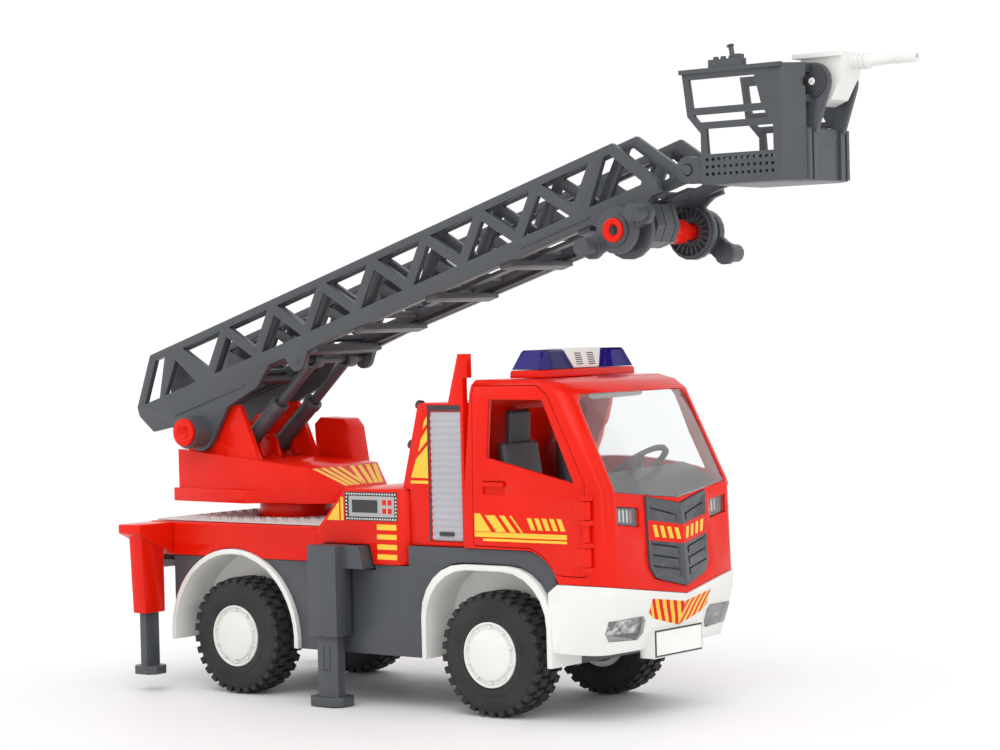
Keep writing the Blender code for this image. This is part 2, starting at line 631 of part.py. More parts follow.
def cab_interior(root):
    dash = [(206.0, 84.0), (206.0, 101.0), (212.0, 106.0), (229.0, 101.4), (235.0, 100.4), (235.0, 84.0)]
    dash = prism([dash], -47.6, 47.6)
    dash = common(dash, cab_solid(WALL + 0.4, top=158.0, bottom=40.0))
    post_low, post_high = (211.0, 24.0, 107.4), (203.5, 24.0, 116.5)
    wheel_ring = turned([(15.0, 1.0), (12.6, 1.0), (12.6, -1.0), (15.0, -1.0)], (0.0, 0.0, 0.0), 24,
                        bore=True)
    spokes = [block((-13.0, -0.8, -1.3), (13.0, 0.8, 1.3)), block((-1.3, -0.8, -13.0), (1.3, 0.8, 0.0))]
    wheel_ring = unite(wheel_ring, *spokes, rod((0.0, -1.6, 0.0), (0.0, 4.2, 0.0), 2.6, 12))
    axis = (Vector(post_low) - Vector(post_high)).normalized()
    turn = Vector((0.0, 1.0, 0.0)).rotation_difference(axis).to_matrix().to_4x4()
    wheel_ring.data.transform(Matrix.Translation(Vector(post_high) * MM) @ turn)
    finish(wheel_ring, "steering_wheel", "grey_plastic", root, post_high)
    column = rod(Vector(post_high) + axis * 4.6, Vector(post_low) + axis * 4.0, 2.2, 12)
    finish(unite(dash, column), "dashboard", "grey_plastic", root)
    bench = block((170.0, -40.0, SILL_Z + GAP), (190.0, 40.0, 85.6))
    for y in (-23.0, 23.0):
        back = [(163.0, 84.0), (161.5, 130.0), (166.5, 131.0), (172.0, 96.0), (172.0, 84.0)]
        head = [(161.8, 128.0), (161.6, 146.0), (167.4, 146.0), (166.6, 129.0)]
        bench = unite(bench, rounded(block((166.0, y - 15.0, 84.4), (196.0, y + 15.0, 97.0)), 1.6, 1),
                      rounded(prism([back], y - 14.0, y + 14.0), 1.6, 1),
                      rounded(prism([head], y - 8.0, y + 8.0), 1.6, 1))
    finish(bench, "seats", "grey_plastic", root)


def light_bar(root):
    x_low, x_high = 172.6, 190.7
    base_z, lens_z, top_z = ROOF_Z + GAP, 165.0, 174.5
    base = prism([[(x_low, base_z), (x_low + 0.6, lens_z), (x_high - 0.6, lens_z), (x_high, base_z)]],
                 -39.0, 39.0)
    finish(base, "light_bar_base", "red_plastic", root)
    section = [(x_low + 0.8, lens_z + GAP), (x_low + 3.4, top_z), (x_high - 3.4, top_z),
               (x_high - 0.8, lens_z + GAP)]
    front = [(-38.0, lens_z + GAP), (-33.0, top_z), (-15.6, top_z), (-10.6, lens_z + GAP)]
    both_sides(lambda: common(prism([section], -40.0, -5.0), prism([front], 160.0, 200.0, "X")),
               "beacon_lens", "blue_lens", root)
    middle = [(-10.3, lens_z + GAP), (-15.3, top_z + 0.4), (15.3, top_z + 0.4), (10.3, lens_z + GAP)]
    centre = common(prism([section[:1] + [(x_low + 3.4, top_z + 0.4), (x_high - 3.4, top_z + 0.4)]
                           + section[3:]], -20.0, 20.0), prism([middle], 160.0, 200.0, "X"))
    finish(centre, "light_bar_centre", "white_plastic", root)


# ---- bumper and lamps -----------------------------------------------------------------
def bumper_section(z, inset):
    """Plan outline of the bumper, which tapers back towards its lower edge."""
    back = max(0.0, 58.0 - z) * 0.28
    front = 240.2 - back - inset
    nose = 6.0 - max(0.0, 58.0 - z) * 0.12
    half = 54.4 - max(0.0, 50.0 - z) * 0.10 - inset
    radius = 9.0 - inset * 0.6
    right = [(150.0, -half)]
    right += arc((front - radius, -half + radius), radius, -90.0, -18.0, 5)
    right += [(front + nose, 0.0)]
    return [(x, y, z) for x, y in right + [(x, -y) for x, y in reversed(right[:-1])]]


def bumper_solid(inset, bottom, top):
    return loft([bumper_section(z, inset) for z in (bottom, 50.0, 58.0, top)])


def front_bumper(root):
    """White moulding: nose, side skirts and both front wheel arches in one."""
    shell = cut(bumper_solid(0.0, 33.0, 75.0), bumper_solid(2.2, 20.0, 90.0))
    shell = cut(shell, block((140.0, -60.0, 10.0), (204.6, 60.0, 90.0)),
                seam_cutter(-GAP, True),
                prism([headlight_outline(GAP)], 215.0, 260.0, "X"),
                prism([flipped(headlight_outline(GAP))], 215.0, 260.0, "X"),
                prism([[(-15.0, 20.0), (-12.0, 36.0), (12.0, 36.0), (15.0, 20.0)]], 215.0, 260.0, "X"),
                prism([[(204.0, 61.0), (204.0, 80.0), (211.4, 80.0), (211.4, 66.4)]], -60.0, 60.0))
    arches = []
    for side in (-1, 1):
        low, high = sorted((side * 31.4, side * 54.8))
        arch = prism([front_arch(0.0)], low, high)
        low, high = sorted((side * 33.0, side * 56.0))
        inner = [(x, z if z > LOWER_Z else z - 5.0) for x, z in front_arch(-2.6)]
        low_gap, high_gap = sorted((side * 30.0, side * 40.0))
        arches.append(cut(arch, prism([inner], low, high),
                          block((132.0, low_gap, 20.0), (201.0, high_gap, 44.0))))
    tie = block((205.0, -54.0, 33.6), (209.0, 54.0, 44.0))
    plate_holder = block((232.0, -20.0, 28.6), (235.6, 20.0, 42.4))
    stay = block((206.0, -11.0, 34.0), (233.0, 11.0, 38.0))
    shell = unite(shell, *arches, tie, plate_holder, stay)
    finish(shell, "front_bumper", "white_plastic", root)
    def lamp():
        skin = cut(bumper_solid(-0.3, 33.0, 75.0), bumper_solid(3.4, 20.0, 90.0))
        return common(skin, prism([flipped(headlight_outline(0.0))], 215.0, 260.0, "X"))

    both_sides(lamp, "headlight", "clear_plastic", root)


# ---- outriggers -----------------------------------------------------------------------
def middle_beam():
    arm = prism([[(64.0, 68.6), (64.0, 79.8), (91.6, 79.8), (94.8, 68.6)]], -60.0, -6.0)
    x_low, x_high = MID_LEG_X
    casing = block((x_low, -66.0, 35.0), (x_high, -54.4, 80.0))
    beam = unite(arm, casing)
    return cut(beam, block((x_low + 2.4, -63.6, 20.0), (x_high - 2.4, -56.8, 77.4)),
               block((70.0, -58.5, 70.9), (90.0, -10.0, 77.4)))


def leg_foot(x_mid, y_mid, top, half_leg, half_pad, ground):
    """Telescopic leg with an octagonal pad."""
    leg = block((x_mid - half_leg[0], y_mid - half_leg[1], ground + 2.0),
                (x_mid + half_leg[0], y_mid + half_leg[1], top))
    long, short = half_pad
    corner = short * 0.5
    quarter = [(long, corner - short), (long - corner, -short)]
    pad = quarter + [(-x, y) for x, y in reversed(quarter)]
    pad += [(-x, -y) for x, y in quarter] + [(x, -y) for x, y in reversed(quarter)]
    pad = prism([[(x_mid + x, y_mid + y) for x, y in pad]], ground, ground + 4.4, "Z")
    return unite(leg, pad)


def middle_foot():
    return leg_foot(sum(MID_LEG_X) / 2, -60.2, 52.0, (6.6, 3.0), (11.0, 8.0), 0.6)


def rear_arm():
    """Fixed wing beside the bed with the casing that hangs from it."""
    wing = prism([[(-HALF_WIDTH - GAP, 71.0), (-HALF_WIDTH - GAP, 87.7), (-78.0, 87.7), (-78.0, 83.0)]],
                 -59.4, -43.4, "X")
    casing = prism([[(-58.3, 41.0), (-58.3, 85.0), (-75.0, 85.0), (-73.0, 41.0)]], *REAR_LEG_X, "X")
    hollow = block((REAR_LEG_X[0] + 1.9, -71.4, 20.0), (REAR_LEG_X[1] - 1.9, -60.2, 82.0))
    return cut(unite(wing, casing), hollow)


def rear_foot():
    return leg_foot(sum(REAR_LEG_X) / 2, -65.8, 60.0, (2.2, 5.0), (8.0, 7.0), 9.0)


def outriggers(root):
    both_sides(middle_beam, "middle_outrigger_beam", "grey_plastic", root)
    both_sides(middle_foot, "middle_outrigger_foot", "grey_plastic", root)
    both_sides(rear_arm, "rear_outrigger_arm", "red_plastic", root)
    both_sides(rear_foot, "rear_outrigger_foot", "grey_plastic", root)


# ---- turntable ------------------------------------------------------------------------
def turntable(root):
    """Red slewing body: a long box with a pointed front, side ledges and pivot brackets."""
    half = 27.5
    top = [(-64.7, TURN_Z), (-64.7, 124.4), (29.0, 115.6), (45.0, 105.0), (48.0, TURN_Z)]
    plan = [(-66.0, -half), (29.0, -half), (49.0, -14.0), (49.0, 14.0), (29.0, half), (-66.0, half)]
    body = common(prism([top], -40.0, 40.0), prism([plan], 90.0, 130.0, "Z"))
    ledge = [(-64.7, -31.4), (-6.8, -37.0), (8.0, -26.0), (8.0, 26.0), (-6.8, 37.0), (-64.7, 31.4)]
    body = unite(body, prism([ledge], TURN_Z, 104.0, "Z"))
    inside = [(-62.0, 90.0), (-62.0, 121.4), (28.4, 112.6), (42.0, 104.0), (42.0, 90.0)]
    inner_plan = [(-62.0, -half + 2.6), (28.0, -half + 2.6), (46.0, -12.0), (46.0, 12.0),
                  (28.0, half - 2.6), (-62.0, half - 2.6)]
    hollow = common(prism([inside], -half + 2.6, half - 2.6), prism([inner_plan], 80.0, 130.0, "Z"))
    body = cut(body, hollow)
    plate = block((-62.5, -25.2, TURN_Z), (30.0, 25.2, TURN_Z + 5.0))
    body = unite(body, cut(plate, rod((TURN_X, 0.0, 90.0), (TURN_X, 0.0, 110.0), 8.3, 32)))
    brackets = []
    for side in (-1, 1):
        low, high = sorted((side * 20.6, side * 23.8))
        web = [(-62.0, 122.0), (PIVOT[0] - 8.0, PIVOT[2])]
        web += arc((PIVOT[0], PIVOT[2]), 8.0, 180.0, 40.0, 6)
        web += [(-31.0, 148.0), (-22.0, 148.0), (-8.0, 117.0)]
        brackets.append(prism([web], low, high))
    lugs = []
    for side in (-1, 1):
        for offset in (-6.6, 6.6):
            y = side * RAM_Y + offset
            foot = [(-36.0, 112.0), (RAM_FOOT[0] - 5.0, RAM_FOOT[1])]
            foot += arc(RAM_FOOT, 5.0, 180.0, 0.0, 6)
            foot += [(-18.0, 112.0)]
            lugs.append(prism([foot], y - 1.2, y + 1.2))
    body = unite(body, *brackets, *lugs)
    slots = [block((-37.0, side * RAM_Y - 5.4, 113.0), (-12.0, side * RAM_Y + 5.4, 126.0))
             for side in (-1, 1)]
    body = cut(body, *slots)
    body = cut(body, rod((PIVOT[0], -40.0, PIVOT[2]), (PIVOT[0], 40.0, PIVOT[2]), 3.8, 24))
    pins = [rod((RAM_FOOT[0], side * RAM_Y - 7.0, RAM_FOOT[1]),
                (RAM_FOOT[0], side * RAM_Y + 7.0, RAM_FOOT[1]), 1.2, 16) for side in (-1, 1)]
    body = unite(body, *pins)
    finish(body, "turntable", "red_plastic", root, (TURN_X, 0.0, TURN_Z))


def operator_cabin(root):
    """Open seat shell for the ladder operator, on the left of the turntable."""
    outline = [(-14.0, 104.6), (-16.0, 136.0), (-12.0, 139.4), (5.0, 138.6), (9.0, 134.0), (14.0, 104.6)]
    inner = [(-11.6, 107.0), (-13.4, 137.0), (3.6, 136.2), (6.6, 133.4), (10.6, 114.0), (10.6, 107.0)]
    shell = cut(prism([outline], 28.0, 41.0), prism([inner], 30.2, 45.0))
    finish(shell, "operator_cabin", "red_plastic", root)


# ---- ladder ---------------------------------------------------------------------------
def outer_side():
    """Side plate of the outer ladder: truss above, deep bracket at the foot, lug for the rams."""
    outline = [(-23.0, RAIL_TOP), (-41.7, 26.0), (-41.6, 21.0), (-34.0, 10.0), (-20.0, 8.4)]
    outline += arc((0.0, 0.0), 10.4, 180.0, 316.0, 8)
    outline += [(24.0, 6.6), (47.5, 9.9), (60.0, 18.6), (71.7, 18.4)]
    outline += arc((RAM_HEAD[0], RAM_HEAD[1]), 5.6, 190.0, 330.0, 6)
    outline += [(88.0, 17.0), (110.0, 18.0), (280.0, 18.0)]
    outline += arc(CRANK_AXIS, 13.6, 160.0, 400.0, 12)
    outline += [(316.0, 19.6), (322.0, 19.6), (322.0, 25.6), (303.6, RAIL_TOP)]
    low, high = 26.0, RAIL_TOP - 4.0
    first = [(-35.5, low), (-23.4, low), (-12.4, high), (-20.0, high)]
    second = [(-19.0, low), (6.0, low), (-5.2, high - 4.4)]
    holes = [first, second]
    count = 8
    pitch = 36.6
    holes += ladder_bays(-1.5, count, pitch, low, high, 4.6)
    holes.append([(281.5, low), (296.8, 45.4), (300.2, high), (314.0, 27.4), (313.2, low)])
    return prism([outline] + holes, -OUTER_Y[1], -OUTER_Y[0])


def ladder_bays(start, count, pitch, low, high, bar):
    """Triangles between zigzag bars: one on its base and one on its point in each pitch."""
    holes = []
    half = pitch / 2
    for k in range(count):
        left = start + k * pitch
        holes.append([(left + bar * 0.75, high), (left + pitch - bar * 0.75, high),
                      (left + half, low + bar * 0.9)])
        if k < count - 1:
            holes.append([(left + half + bar * 0.75, low), (left + half + pitch - bar * 0.75, low),
                          (left + pitch, high - bar * 0.9)])
    return holes


def outer_ladder(pivot):
    side = outer_side()
    other = mirrored(side)
    ties = [block((s, -25.0, 16.0), (s + 7.0, 25.0, 18.8)) for s in (-30.0, 30.0, 120.0, 170.0, 220.0, 270.0)]
    runners = [block((-41.0, y, 18.3), (300.0, y + 5.2, 20.0)) for y in (-25.1, 19.9)]
    head = block((86.0, -25.2, 15.2), (93.0, 25.2, 18.9))
    ladder = unite(side, other, head, *ties, *runners)
    bosses = [rod((0.0, side * 38.0, 0.0), (0.0, side * 26.0, 0.0), 8.6, 20) for side in (-1, 1)]
    ladder = unite(ladder, *bosses)
    ladder = cut(ladder, rod((0.0, -50.0, 0.0), (0.0, 50.0, 0.0), 3.8, 16),
                 rod((CRANK_AXIS[0], -50.0, CRANK_AXIS[1]), (CRANK_AXIS[0], 50.0, CRANK_AXIS[1]), 4.6, 12))
    ladder = unite(ladder, rod((RAM_HEAD[0], -27.9, RAM_HEAD[1]), (RAM_HEAD[0], 27.9, RAM_HEAD[1]), 2.0, 10))
    finish(ladder, "outer_ladder", "grey_plastic", pivot)


def inner_ladder(pivot):
    low, high = 25.4, 46.4
    outline = [(-13.0, RAIL_TOP + 0.4), (-24.0, 24.0), (-24.0, 20.2), (330.0, 20.2)]
    outline += arc(BASKET_AXIS, 6.4, 230.0, 510.0, 16)
    outline += [(312.6, RAIL_TOP + 0.4)]
    holes = ladder_bays(-10.0, 8, 39.0, low, high, 4.2)
    holes.append([(286.4, low), (306.3, high), (309.0, high), (324.6, 26.6), (324.0, low)])
    side = prism([outline] + holes, -INNER_Y[1], -INNER_Y[0])
    rungs = [rod((s, -17.6, 23.2), (s, 17.6, 23.2), 1.9, 6) for s in range(-12, 320, 20)]
    rack = block((150.0, -3.0, 20.2), (322.0, 3.0, 22.0))
    ladder = unite(side, mirrored(side), rack, *rungs)
    pin = rod((BASKET_AXIS[0], -23.2, BASKET_AXIS[1]), (BASKET_AXIS[0], 23.2, BASKET_AXIS[1]), 2.4, 12)
    ladder = unite(ladder, pin)
    finish(ladder, "inner_ladder", "grey_plastic", pivot)


def pivot_shaft(pivot):
    """Shaft that joins ladder and turntable, and the two red rings in its bosses."""
    shaft = rod((0.0, -39.4, 0.0), (0.0, 39.4, 0.0), 3.5, 16)
    for side in (-1, 1):
        shaft = unite(shaft, rod((0.0, side * 40.4, 0.0), (0.0, side * 38.4, 0.0), 7.4, 16))
        shaft = cut(shaft, rod((0.0, side * 41.0, 0.0), (0.0, side * 37.0, 0.0), 5.0, 12, end_radius=1.4))
    finish(shaft, "ladder_pivot_shaft", "red_plastic", pivot)


def cranks(pivot):
    """Winch shaft with a red drum, and a double-handled crank on each end."""
    s, t = CRANK_AXIS
    shaft = unite(rod((s, -33.0, t), (s, 33.0, t), 4.2, 16), rod((s, -16.0, t), (s, 16.0, t), 6.0, 16))
    finish(shaft, "winch_shaft", "red_plastic", pivot, (s, 0.0, t))
    reach = 16.4

    def crank(turn):
        angle = math.radians(turn)
        cosine, sine = math.cos(angle), math.sin(angle)
        corners = [(-reach, -5.0), (reach, -5.0), (reach, 5.0), (-reach, 5.0)]
        web = [(s + a * cosine - b * sine, t + a * sine + b * cosine) for a, b in corners]
        bar = unite(prism([web], -37.0, -33.8), rod((s, -37.4, t), (s, -33.3, t), 11.0, 20),
                    rod((s, -38.6, t), (s, -35.0, t), 7.6, 16))
        for sign in (-1, 1):
            x, z = s + sign * reach * cosine, t + sign * reach * sine
            bar = unite(bar, rod((x, -37.2, z), (x, -33.6, z), 5.6, 12),
                        rod((x, -45.0, z), (x, -36.0, z), 4.4, 12))
        return cut(bar, rod((s, -39.0, t), (s, -36.0, t), 5.0, 12, end_radius=2.0))

    finish(crank(10.0), "crank_handle_right", "grey_plastic", pivot, (s, 0.0, t))
    source = crank(-57.0)
    finish(mirrored(source), "crank_handle_left", "grey_plastic", pivot, (s, 0.0, t))
    bpy.data.objects.remove(source, do_unlink=True)


def head_point():
    """Upper pin of the lifting cylinders in the vehicle's frame."""
    angle = math.radians(ELEVATION)
    along, up = RAM_HEAD
    return (PIVOT[0] + along * math.cos(angle) - up * math.sin(angle),
            PIVOT[2] + along * math.sin(angle) + up * math.cos(angle))


def lifting_rams(root, pivot):
    head = head_point()
    foot = RAM_FOOT
    length = math.hypot(head[0] - foot[0], head[1] - foot[1])
    unit = ((head[0] - foot[0]) / length, (head[1] - foot[1]) / length)

    def point(distance, y):
        return (foot[0] + unit[0] * distance, y, foot[1] + unit[1] * distance)

    def barrel():
        body = rod(point(0.6, -RAM_Y), point(34.0, -RAM_Y), 4.4, 12)
        eye = rod((foot[0], -RAM_Y - 4.8, foot[1]), (foot[0], -RAM_Y + 4.8, foot[1]), 3.6, 12)
        collar = rod(point(31.0, -RAM_Y), point(35.0, -RAM_Y), 4.9, 12)
        body = unite(body, eye, collar)
        return cut(body, rod(point(6.0, -RAM_Y), point(40.0, -RAM_Y), 3.1, 12),
                   rod((foot[0], -30.0, foot[1]), (foot[0], 0.0, foot[1]), 1.6, 12))

    both_sides(barrel, "ram_barrel", "grey_plastic", root, (foot[0], 0.0, foot[1]))

    def piston():
        body = rod(point(12.0, -RAM_Y), point(length - 3.2, -RAM_Y), 2.7, 12)
        eye = rod((head[0], -RAM_Y - 3.2, head[1]), (head[0], -RAM_Y + 3.2, head[1]), 4.4, 12)
        return cut(unite(body, eye), rod((head[0], -30.0, head[1]), (head[0], 0.0, head[1]), 3.0, 12))

    both_sides(piston, "ram_rod", "grey_plastic", root, (head[0], 0.0, head[1]))


# ---- rescue basket --------------------------------------------------------------------
def basket_point():
    """Pivot of the basket in the vehicle's frame."""
    angle = math.radians(ELEVATION)
    along, up = BASKET_AXIS
    return (PIVOT[0] + along * math.cos(angle) - up * math.sin(angle),
            PIVOT[2] + along * math.sin(angle) + up * math.cos(angle))


def basket(root):
    half, wall = 25.6, 2.2
    rear, front = 276.6, 328.0
    floor_z, top_z = 248.6, 301.0
    chamfer = 8.0
    plan = [(rear, -half), (front - chamfer, -half), (front, -half + chamfer),
            (front, half - chamfer), (front - chamfer, half), (rear, half)]
    floor = prism([plan], floor_z, floor_z + 2.2, "Z")
    sides = []
    for side in (-1, 1):
        low, high = sorted((side * half, side * (half - wall)))
        frame = [(rear, floor_z), (rear, 272.0), (269.4, 280.0), (266.6, top_z), (front - chamfer, top_z),
                 (front - chamfer, floor_z)]
        upper = [(270.4, top_z - 4.2), (272.2, 283.8), (309.4, 283.8), (306.0, top_z - 4.2)]
        middle = [(272.8, 280.6), (275.8, 277.1), (313.2, 277.1), (311.0, 280.6)]
        lower = [(279.6, 274.0), (280.4, 262.4), (315.6, 262.4), (315.6, 274.0)]
        sides.append(prism([frame, upper, middle, lower], low, high))
    corner = [(front - chamfer, half), (front, half - chamfer), (front - wall, half - chamfer - 0.9),
              (front - chamfer - 0.9, half - wall)]
    posts = [prism([corner], floor_z, top_z, "Z"),
             prism([[(x, -y) for x, y in corner]], floor_z, top_z, "Z")]
    plates = [block((front - wall, -half + chamfer, floor_z), (front, half - chamfer, 272.0))]
    for side in (-1, 1):
        low, high = sorted((side * 10.4, side * 12.8))
        cheek = [(front - 3.6, 270.0), (CANNON_AXIS[0] - 8.6, CANNON_AXIS[1])]
        cheek += arc(CANNON_AXIS, 8.6, 180.0, -20.0, 10)
        cheek += [(front + 2.2, 270.0)]
        plates.append(prism([cheek], low, high))
    rails = [block((front - wall, -half + chamfer, 283.4), (front, -12.0, 286.6)),
             block((front - wall, 12.0, 283.4), (front, half - chamfer, 286.6)),
             block((front - wall, -half + chamfer, top_z - 4.2), (front, -12.8, top_z)),
             block((front - wall, 12.8, top_z - 4.2), (front, half - chamfer, top_z))]
    pivot_x, pivot_z = basket_point()
    arms = []
    for side in (-1, 1):
        low, high = sorted((side * 20.0, side * 22.6))
        arm = arc((pivot_x, pivot_z), 6.4, 60.0, 280.0, 10) + [(rear + 8.0, floor_z), (rear + 8.0, 262.0)]
        arms.append(prism([arm], low, high))
        low, high = sorted((side * 20.0, side * (half - 0.5)))
        arms.append(block((rear, low, floor_z), (rear + 8.0, high, floor_z + 4.0)))
    panel = [block((282.0, -26.4, top_z - 1.0), (299.0, -20.6, top_z + 4.0)),
             rod((294.0, -23.6, top_z + 3.0), (292.6, -23.6, top_z + 10.4), 1.2, 10)]
    frame = unite(floor, *sides, *posts, *plates, *rails, *arms, *panel)
    frame = cut(frame, rod((pivot_x, -30.0, pivot_z), (pivot_x, 30.0, pivot_z), 2.8, 20),
                rod((CANNON_AXIS[0], -20.0, CANNON_AXIS[1]), (CANNON_AXIS[0], 20.0, CANNON_AXIS[1]), 2.6, 20))
    finish(frame, "rescue_basket", "grey_plastic", root, (pivot_x, 0.0, pivot_z))


def water_cannon(root):
    x, z = CANNON_AXIS
    cheek = [(x - 9.6, z + 11.4), (x + 13.0, z + 11.4), (x + 13.0, z + 4.0), (x + 6.0, z - 8.0),
             (x - 1.0, z - 10.6), (x - 5.0, z - 3.0), (x - 9.0, z + 6.0)]
    body = unite(prism([cheek], -7.4, 7.4), block((x - 12.8, -9.4, z + 11.0), (x + 12.0, 9.4, z + 13.2)),
                 rod((x, -12.4, z), (x, 12.4, z), 2.3, 12), rod((x, -10.1, z), (x, 10.1, z), 4.0, 16))
    tube = [rod((x + 10.0, 0.0, z + 8.4), (x + 21.6, 0.0, z + 8.4), 3.1, 12)]
    tube += [rod((x + a, 0.0, z + 8.4), (x + a + 1.2, 0.0, z + 8.4), 3.8, 12) for a in (16.0, 18.4, 20.8)]
    tube += [rod((x + 21.0, 0.0, z + 8.4), (x + 36.0, 0.0, z + 8.4), 2.9, 16, end_radius=2.3),
             rod((x + 35.0, 0.0, z + 8.4), (FRONT_END, 0.0, z + 8.4), 2.6, 12)]
    body = unite(body, *tube)
    body = cut(body, rod((FRONT_END - 10.0, 0.0, z + 8.4), (FRONT_END + 1.0, 0.0, z + 8.4), 1.3, 12))
    finish(body, "water_cannon", "white_plastic", root, (x, 0.0, z))


# ---- assembly -------------------------------------------------------------------------
clear_scene()
COLLECTION = bpy.data.collections.new("toy_fire_engine")
bpy.context.scene.collection.children.link(COLLECTION)
MATERIALS = {name: make_material(name) for name in COLOURS}

vehicle = make_empty("vehicle", (-ORIGIN_X, 0.0, 0.0))
ladder_pivot = make_empty("ladder_pivot", PIVOT, vehicle, -ELEVATION)

running_gear(vehicle)
chassis(vehicle)
both_sides(rear_fender, "rear_fender", "white_plastic", vehicle)
hose_reel(vehicle)
rear_body(vehicle)
tread_plate(vehicle)
pedestal(vehicle)
locker_tower(vehicle)
both_sides(shutter, "roller_shutter", "shutter_grey", vehicle)
cab_shell(vehicle)
both_sides(cab_door, "cab_door", "red_plastic", vehicle, (HINGE_X, -HINGE_Y, 90.0))
cab_glazing(vehicle)
cab_interior(vehicle)
light_bar(vehicle)
front_bumper(vehicle)
outriggers(vehicle)
turntable(vehicle)
operator_cabin(vehicle)
outer_ladder(ladder_pivot)
inner_ladder(ladder_pivot)
pivot_shaft(ladder_pivot)
cranks(ladder_pivot)
lifting_rams(vehicle, ladder_pivot)
basket(vehicle)
water_cannon(vehicle)
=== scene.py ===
"""Looks of the toy fire engine: finished pieces, materials, printed film, floor, light and camera.

Lengths are millimetres in the vehicle's own frame (X forward from the rear axle, Y to its left, Z up)
and become metres in the frame's axes when a piece is made.
"""
import json
import math

import bmesh
import bpy
from mathutils import Matrix, Vector
from mathutils.bvhtree import BVHTree

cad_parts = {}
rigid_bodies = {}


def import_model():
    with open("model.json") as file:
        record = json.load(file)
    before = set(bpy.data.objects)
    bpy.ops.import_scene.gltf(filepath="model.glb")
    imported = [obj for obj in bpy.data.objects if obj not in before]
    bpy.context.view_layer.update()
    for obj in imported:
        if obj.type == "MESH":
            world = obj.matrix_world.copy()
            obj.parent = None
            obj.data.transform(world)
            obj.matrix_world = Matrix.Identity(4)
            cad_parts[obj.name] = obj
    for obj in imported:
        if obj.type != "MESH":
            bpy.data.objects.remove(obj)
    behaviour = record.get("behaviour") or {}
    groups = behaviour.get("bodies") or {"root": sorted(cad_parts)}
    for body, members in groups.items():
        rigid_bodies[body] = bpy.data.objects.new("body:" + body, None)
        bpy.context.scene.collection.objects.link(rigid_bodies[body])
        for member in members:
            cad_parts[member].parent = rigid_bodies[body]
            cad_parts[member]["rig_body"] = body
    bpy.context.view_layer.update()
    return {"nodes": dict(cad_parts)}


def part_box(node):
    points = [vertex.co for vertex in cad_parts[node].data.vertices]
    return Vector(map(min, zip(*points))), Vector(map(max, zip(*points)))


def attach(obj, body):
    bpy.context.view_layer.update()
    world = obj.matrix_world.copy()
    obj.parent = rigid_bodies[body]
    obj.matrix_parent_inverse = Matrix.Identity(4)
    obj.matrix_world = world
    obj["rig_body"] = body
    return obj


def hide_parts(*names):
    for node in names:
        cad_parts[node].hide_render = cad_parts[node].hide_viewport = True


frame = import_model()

MM = 0.001
SIDES = (("right", -1), ("left", 1))


def middle(node):
    low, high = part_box(node)
    return (low + high) / 2


AXLE = middle("rear_axle")
SHIFT = Vector((AXLE.x, 0.0, 0.0))
WHEELBASE = (middle("front_axle").x - AXLE.x) / MM
TYRE_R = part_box("rear_tyre_right")[1].z / MM / 2
PIVOT = (middle("ladder_pivot_shaft") - SHIFT) / MM
SHAFT = (middle("winch_shaft") - SHIFT) / MM
TILT = math.radians(17.0)  # the ladder above level
WELD_M = 0.000004
ROUND_OVER = math.radians(32.0)  # edges sharper than this are rounded
SMOOTH_UNDER = math.radians(40.0)  # faces that meet more flatly than this shade as one


def local(node):
    """Lowest and highest corner of a node in vehicle millimetres."""
    low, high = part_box(node)
    return (low - SHIFT) / MM, (high - SHIFT) / MM


# ---- materials ------------------------------------------------------------------------
def shader(name, colour, roughness, **sockets):
    material = bpy.data.materials.new(name)
    material.use_nodes = True
    principled = material.node_tree.nodes["Principled BSDF"]
    principled.inputs["Base Color"].default_value = (*colour, 1.0)
    principled.inputs["Roughness"].default_value = roughness
    for socket, value in sockets.items():
        principled.inputs[socket.replace("_", " ")].default_value = value
    return material, principled


def noise(material, scale, detail=3.0, distortion=0.0):
    nodes, links = material.node_tree.nodes, material.node_tree.links
    place = nodes.new("ShaderNodeTexCoord")
    texture = nodes.new("ShaderNodeTexNoise")
    texture.inputs["Scale"].default_value = scale
    texture.inputs["Detail"].default_value = detail
    texture.inputs["Distortion"].default_value = distortion
    links.new(place.outputs["Object"], texture.inputs["Vector"])
    return texture.outputs["Fac"]


def ramp(material, factor, stops):
    node = material.node_tree.nodes.new("ShaderNodeValToRGB")
    while len(node.color_ramp.elements) < len(stops):
        node.color_ramp.elements.new(0.5)
    for element, (position, colour) in zip(node.color_ramp.elements, stops):
        element.position = position
        element.color = (*colour, 1.0)
    material.node_tree.links.new(factor, node.inputs["Fac"])
    return node.outputs["Color"]


def spread(material, factor, low, high):
    node = material.node_tree.nodes.new("ShaderNodeMapRange")
    node.inputs["To Min"].default_value = low
    node.inputs["To Max"].default_value = high
    material.node_tree.links.new(factor, node.inputs["Value"])
    return node.outputs["Result"]


def bump(material, principled, height, strength, distance=0.0002):
    node = material.node_tree.nodes.new("ShaderNodeBump")
    node.inputs["Strength"].default_value = strength
    node.inputs["Distance"].default_value = distance
    material.node_tree.links.new(height, node.inputs["Height"])
    material.node_tree.links.new(node.outputs["Normal"], principled.inputs["Normal"])


def moulded(name, colour, roughness, grain=900.0, strength=0.12, **sockets):
    """Injection-moulded plastic: slight cloudiness, uneven gloss and a fine grain."""
    material, principled = shader(name, colour, roughness, **sockets)
    cloud = noise(material, 22.0, 4.0)
    dark = [c * 0.93 for c in colour]
    light = [min(1.0, c * 1.05 + 0.002) for c in colour]
    tint = ramp(material, cloud, [(0.3, dark), (0.7, light)])
    links = material.node_tree.links
    links.new(tint, principled.inputs["Base Color"])
    links.new(spread(material, noise(material, 160.0, 5.0), roughness * 0.85, roughness * 1.2),
              principled.inputs["Roughness"])
    bump(material, principled, noise(material, grain, 2.0), strength)
    return material


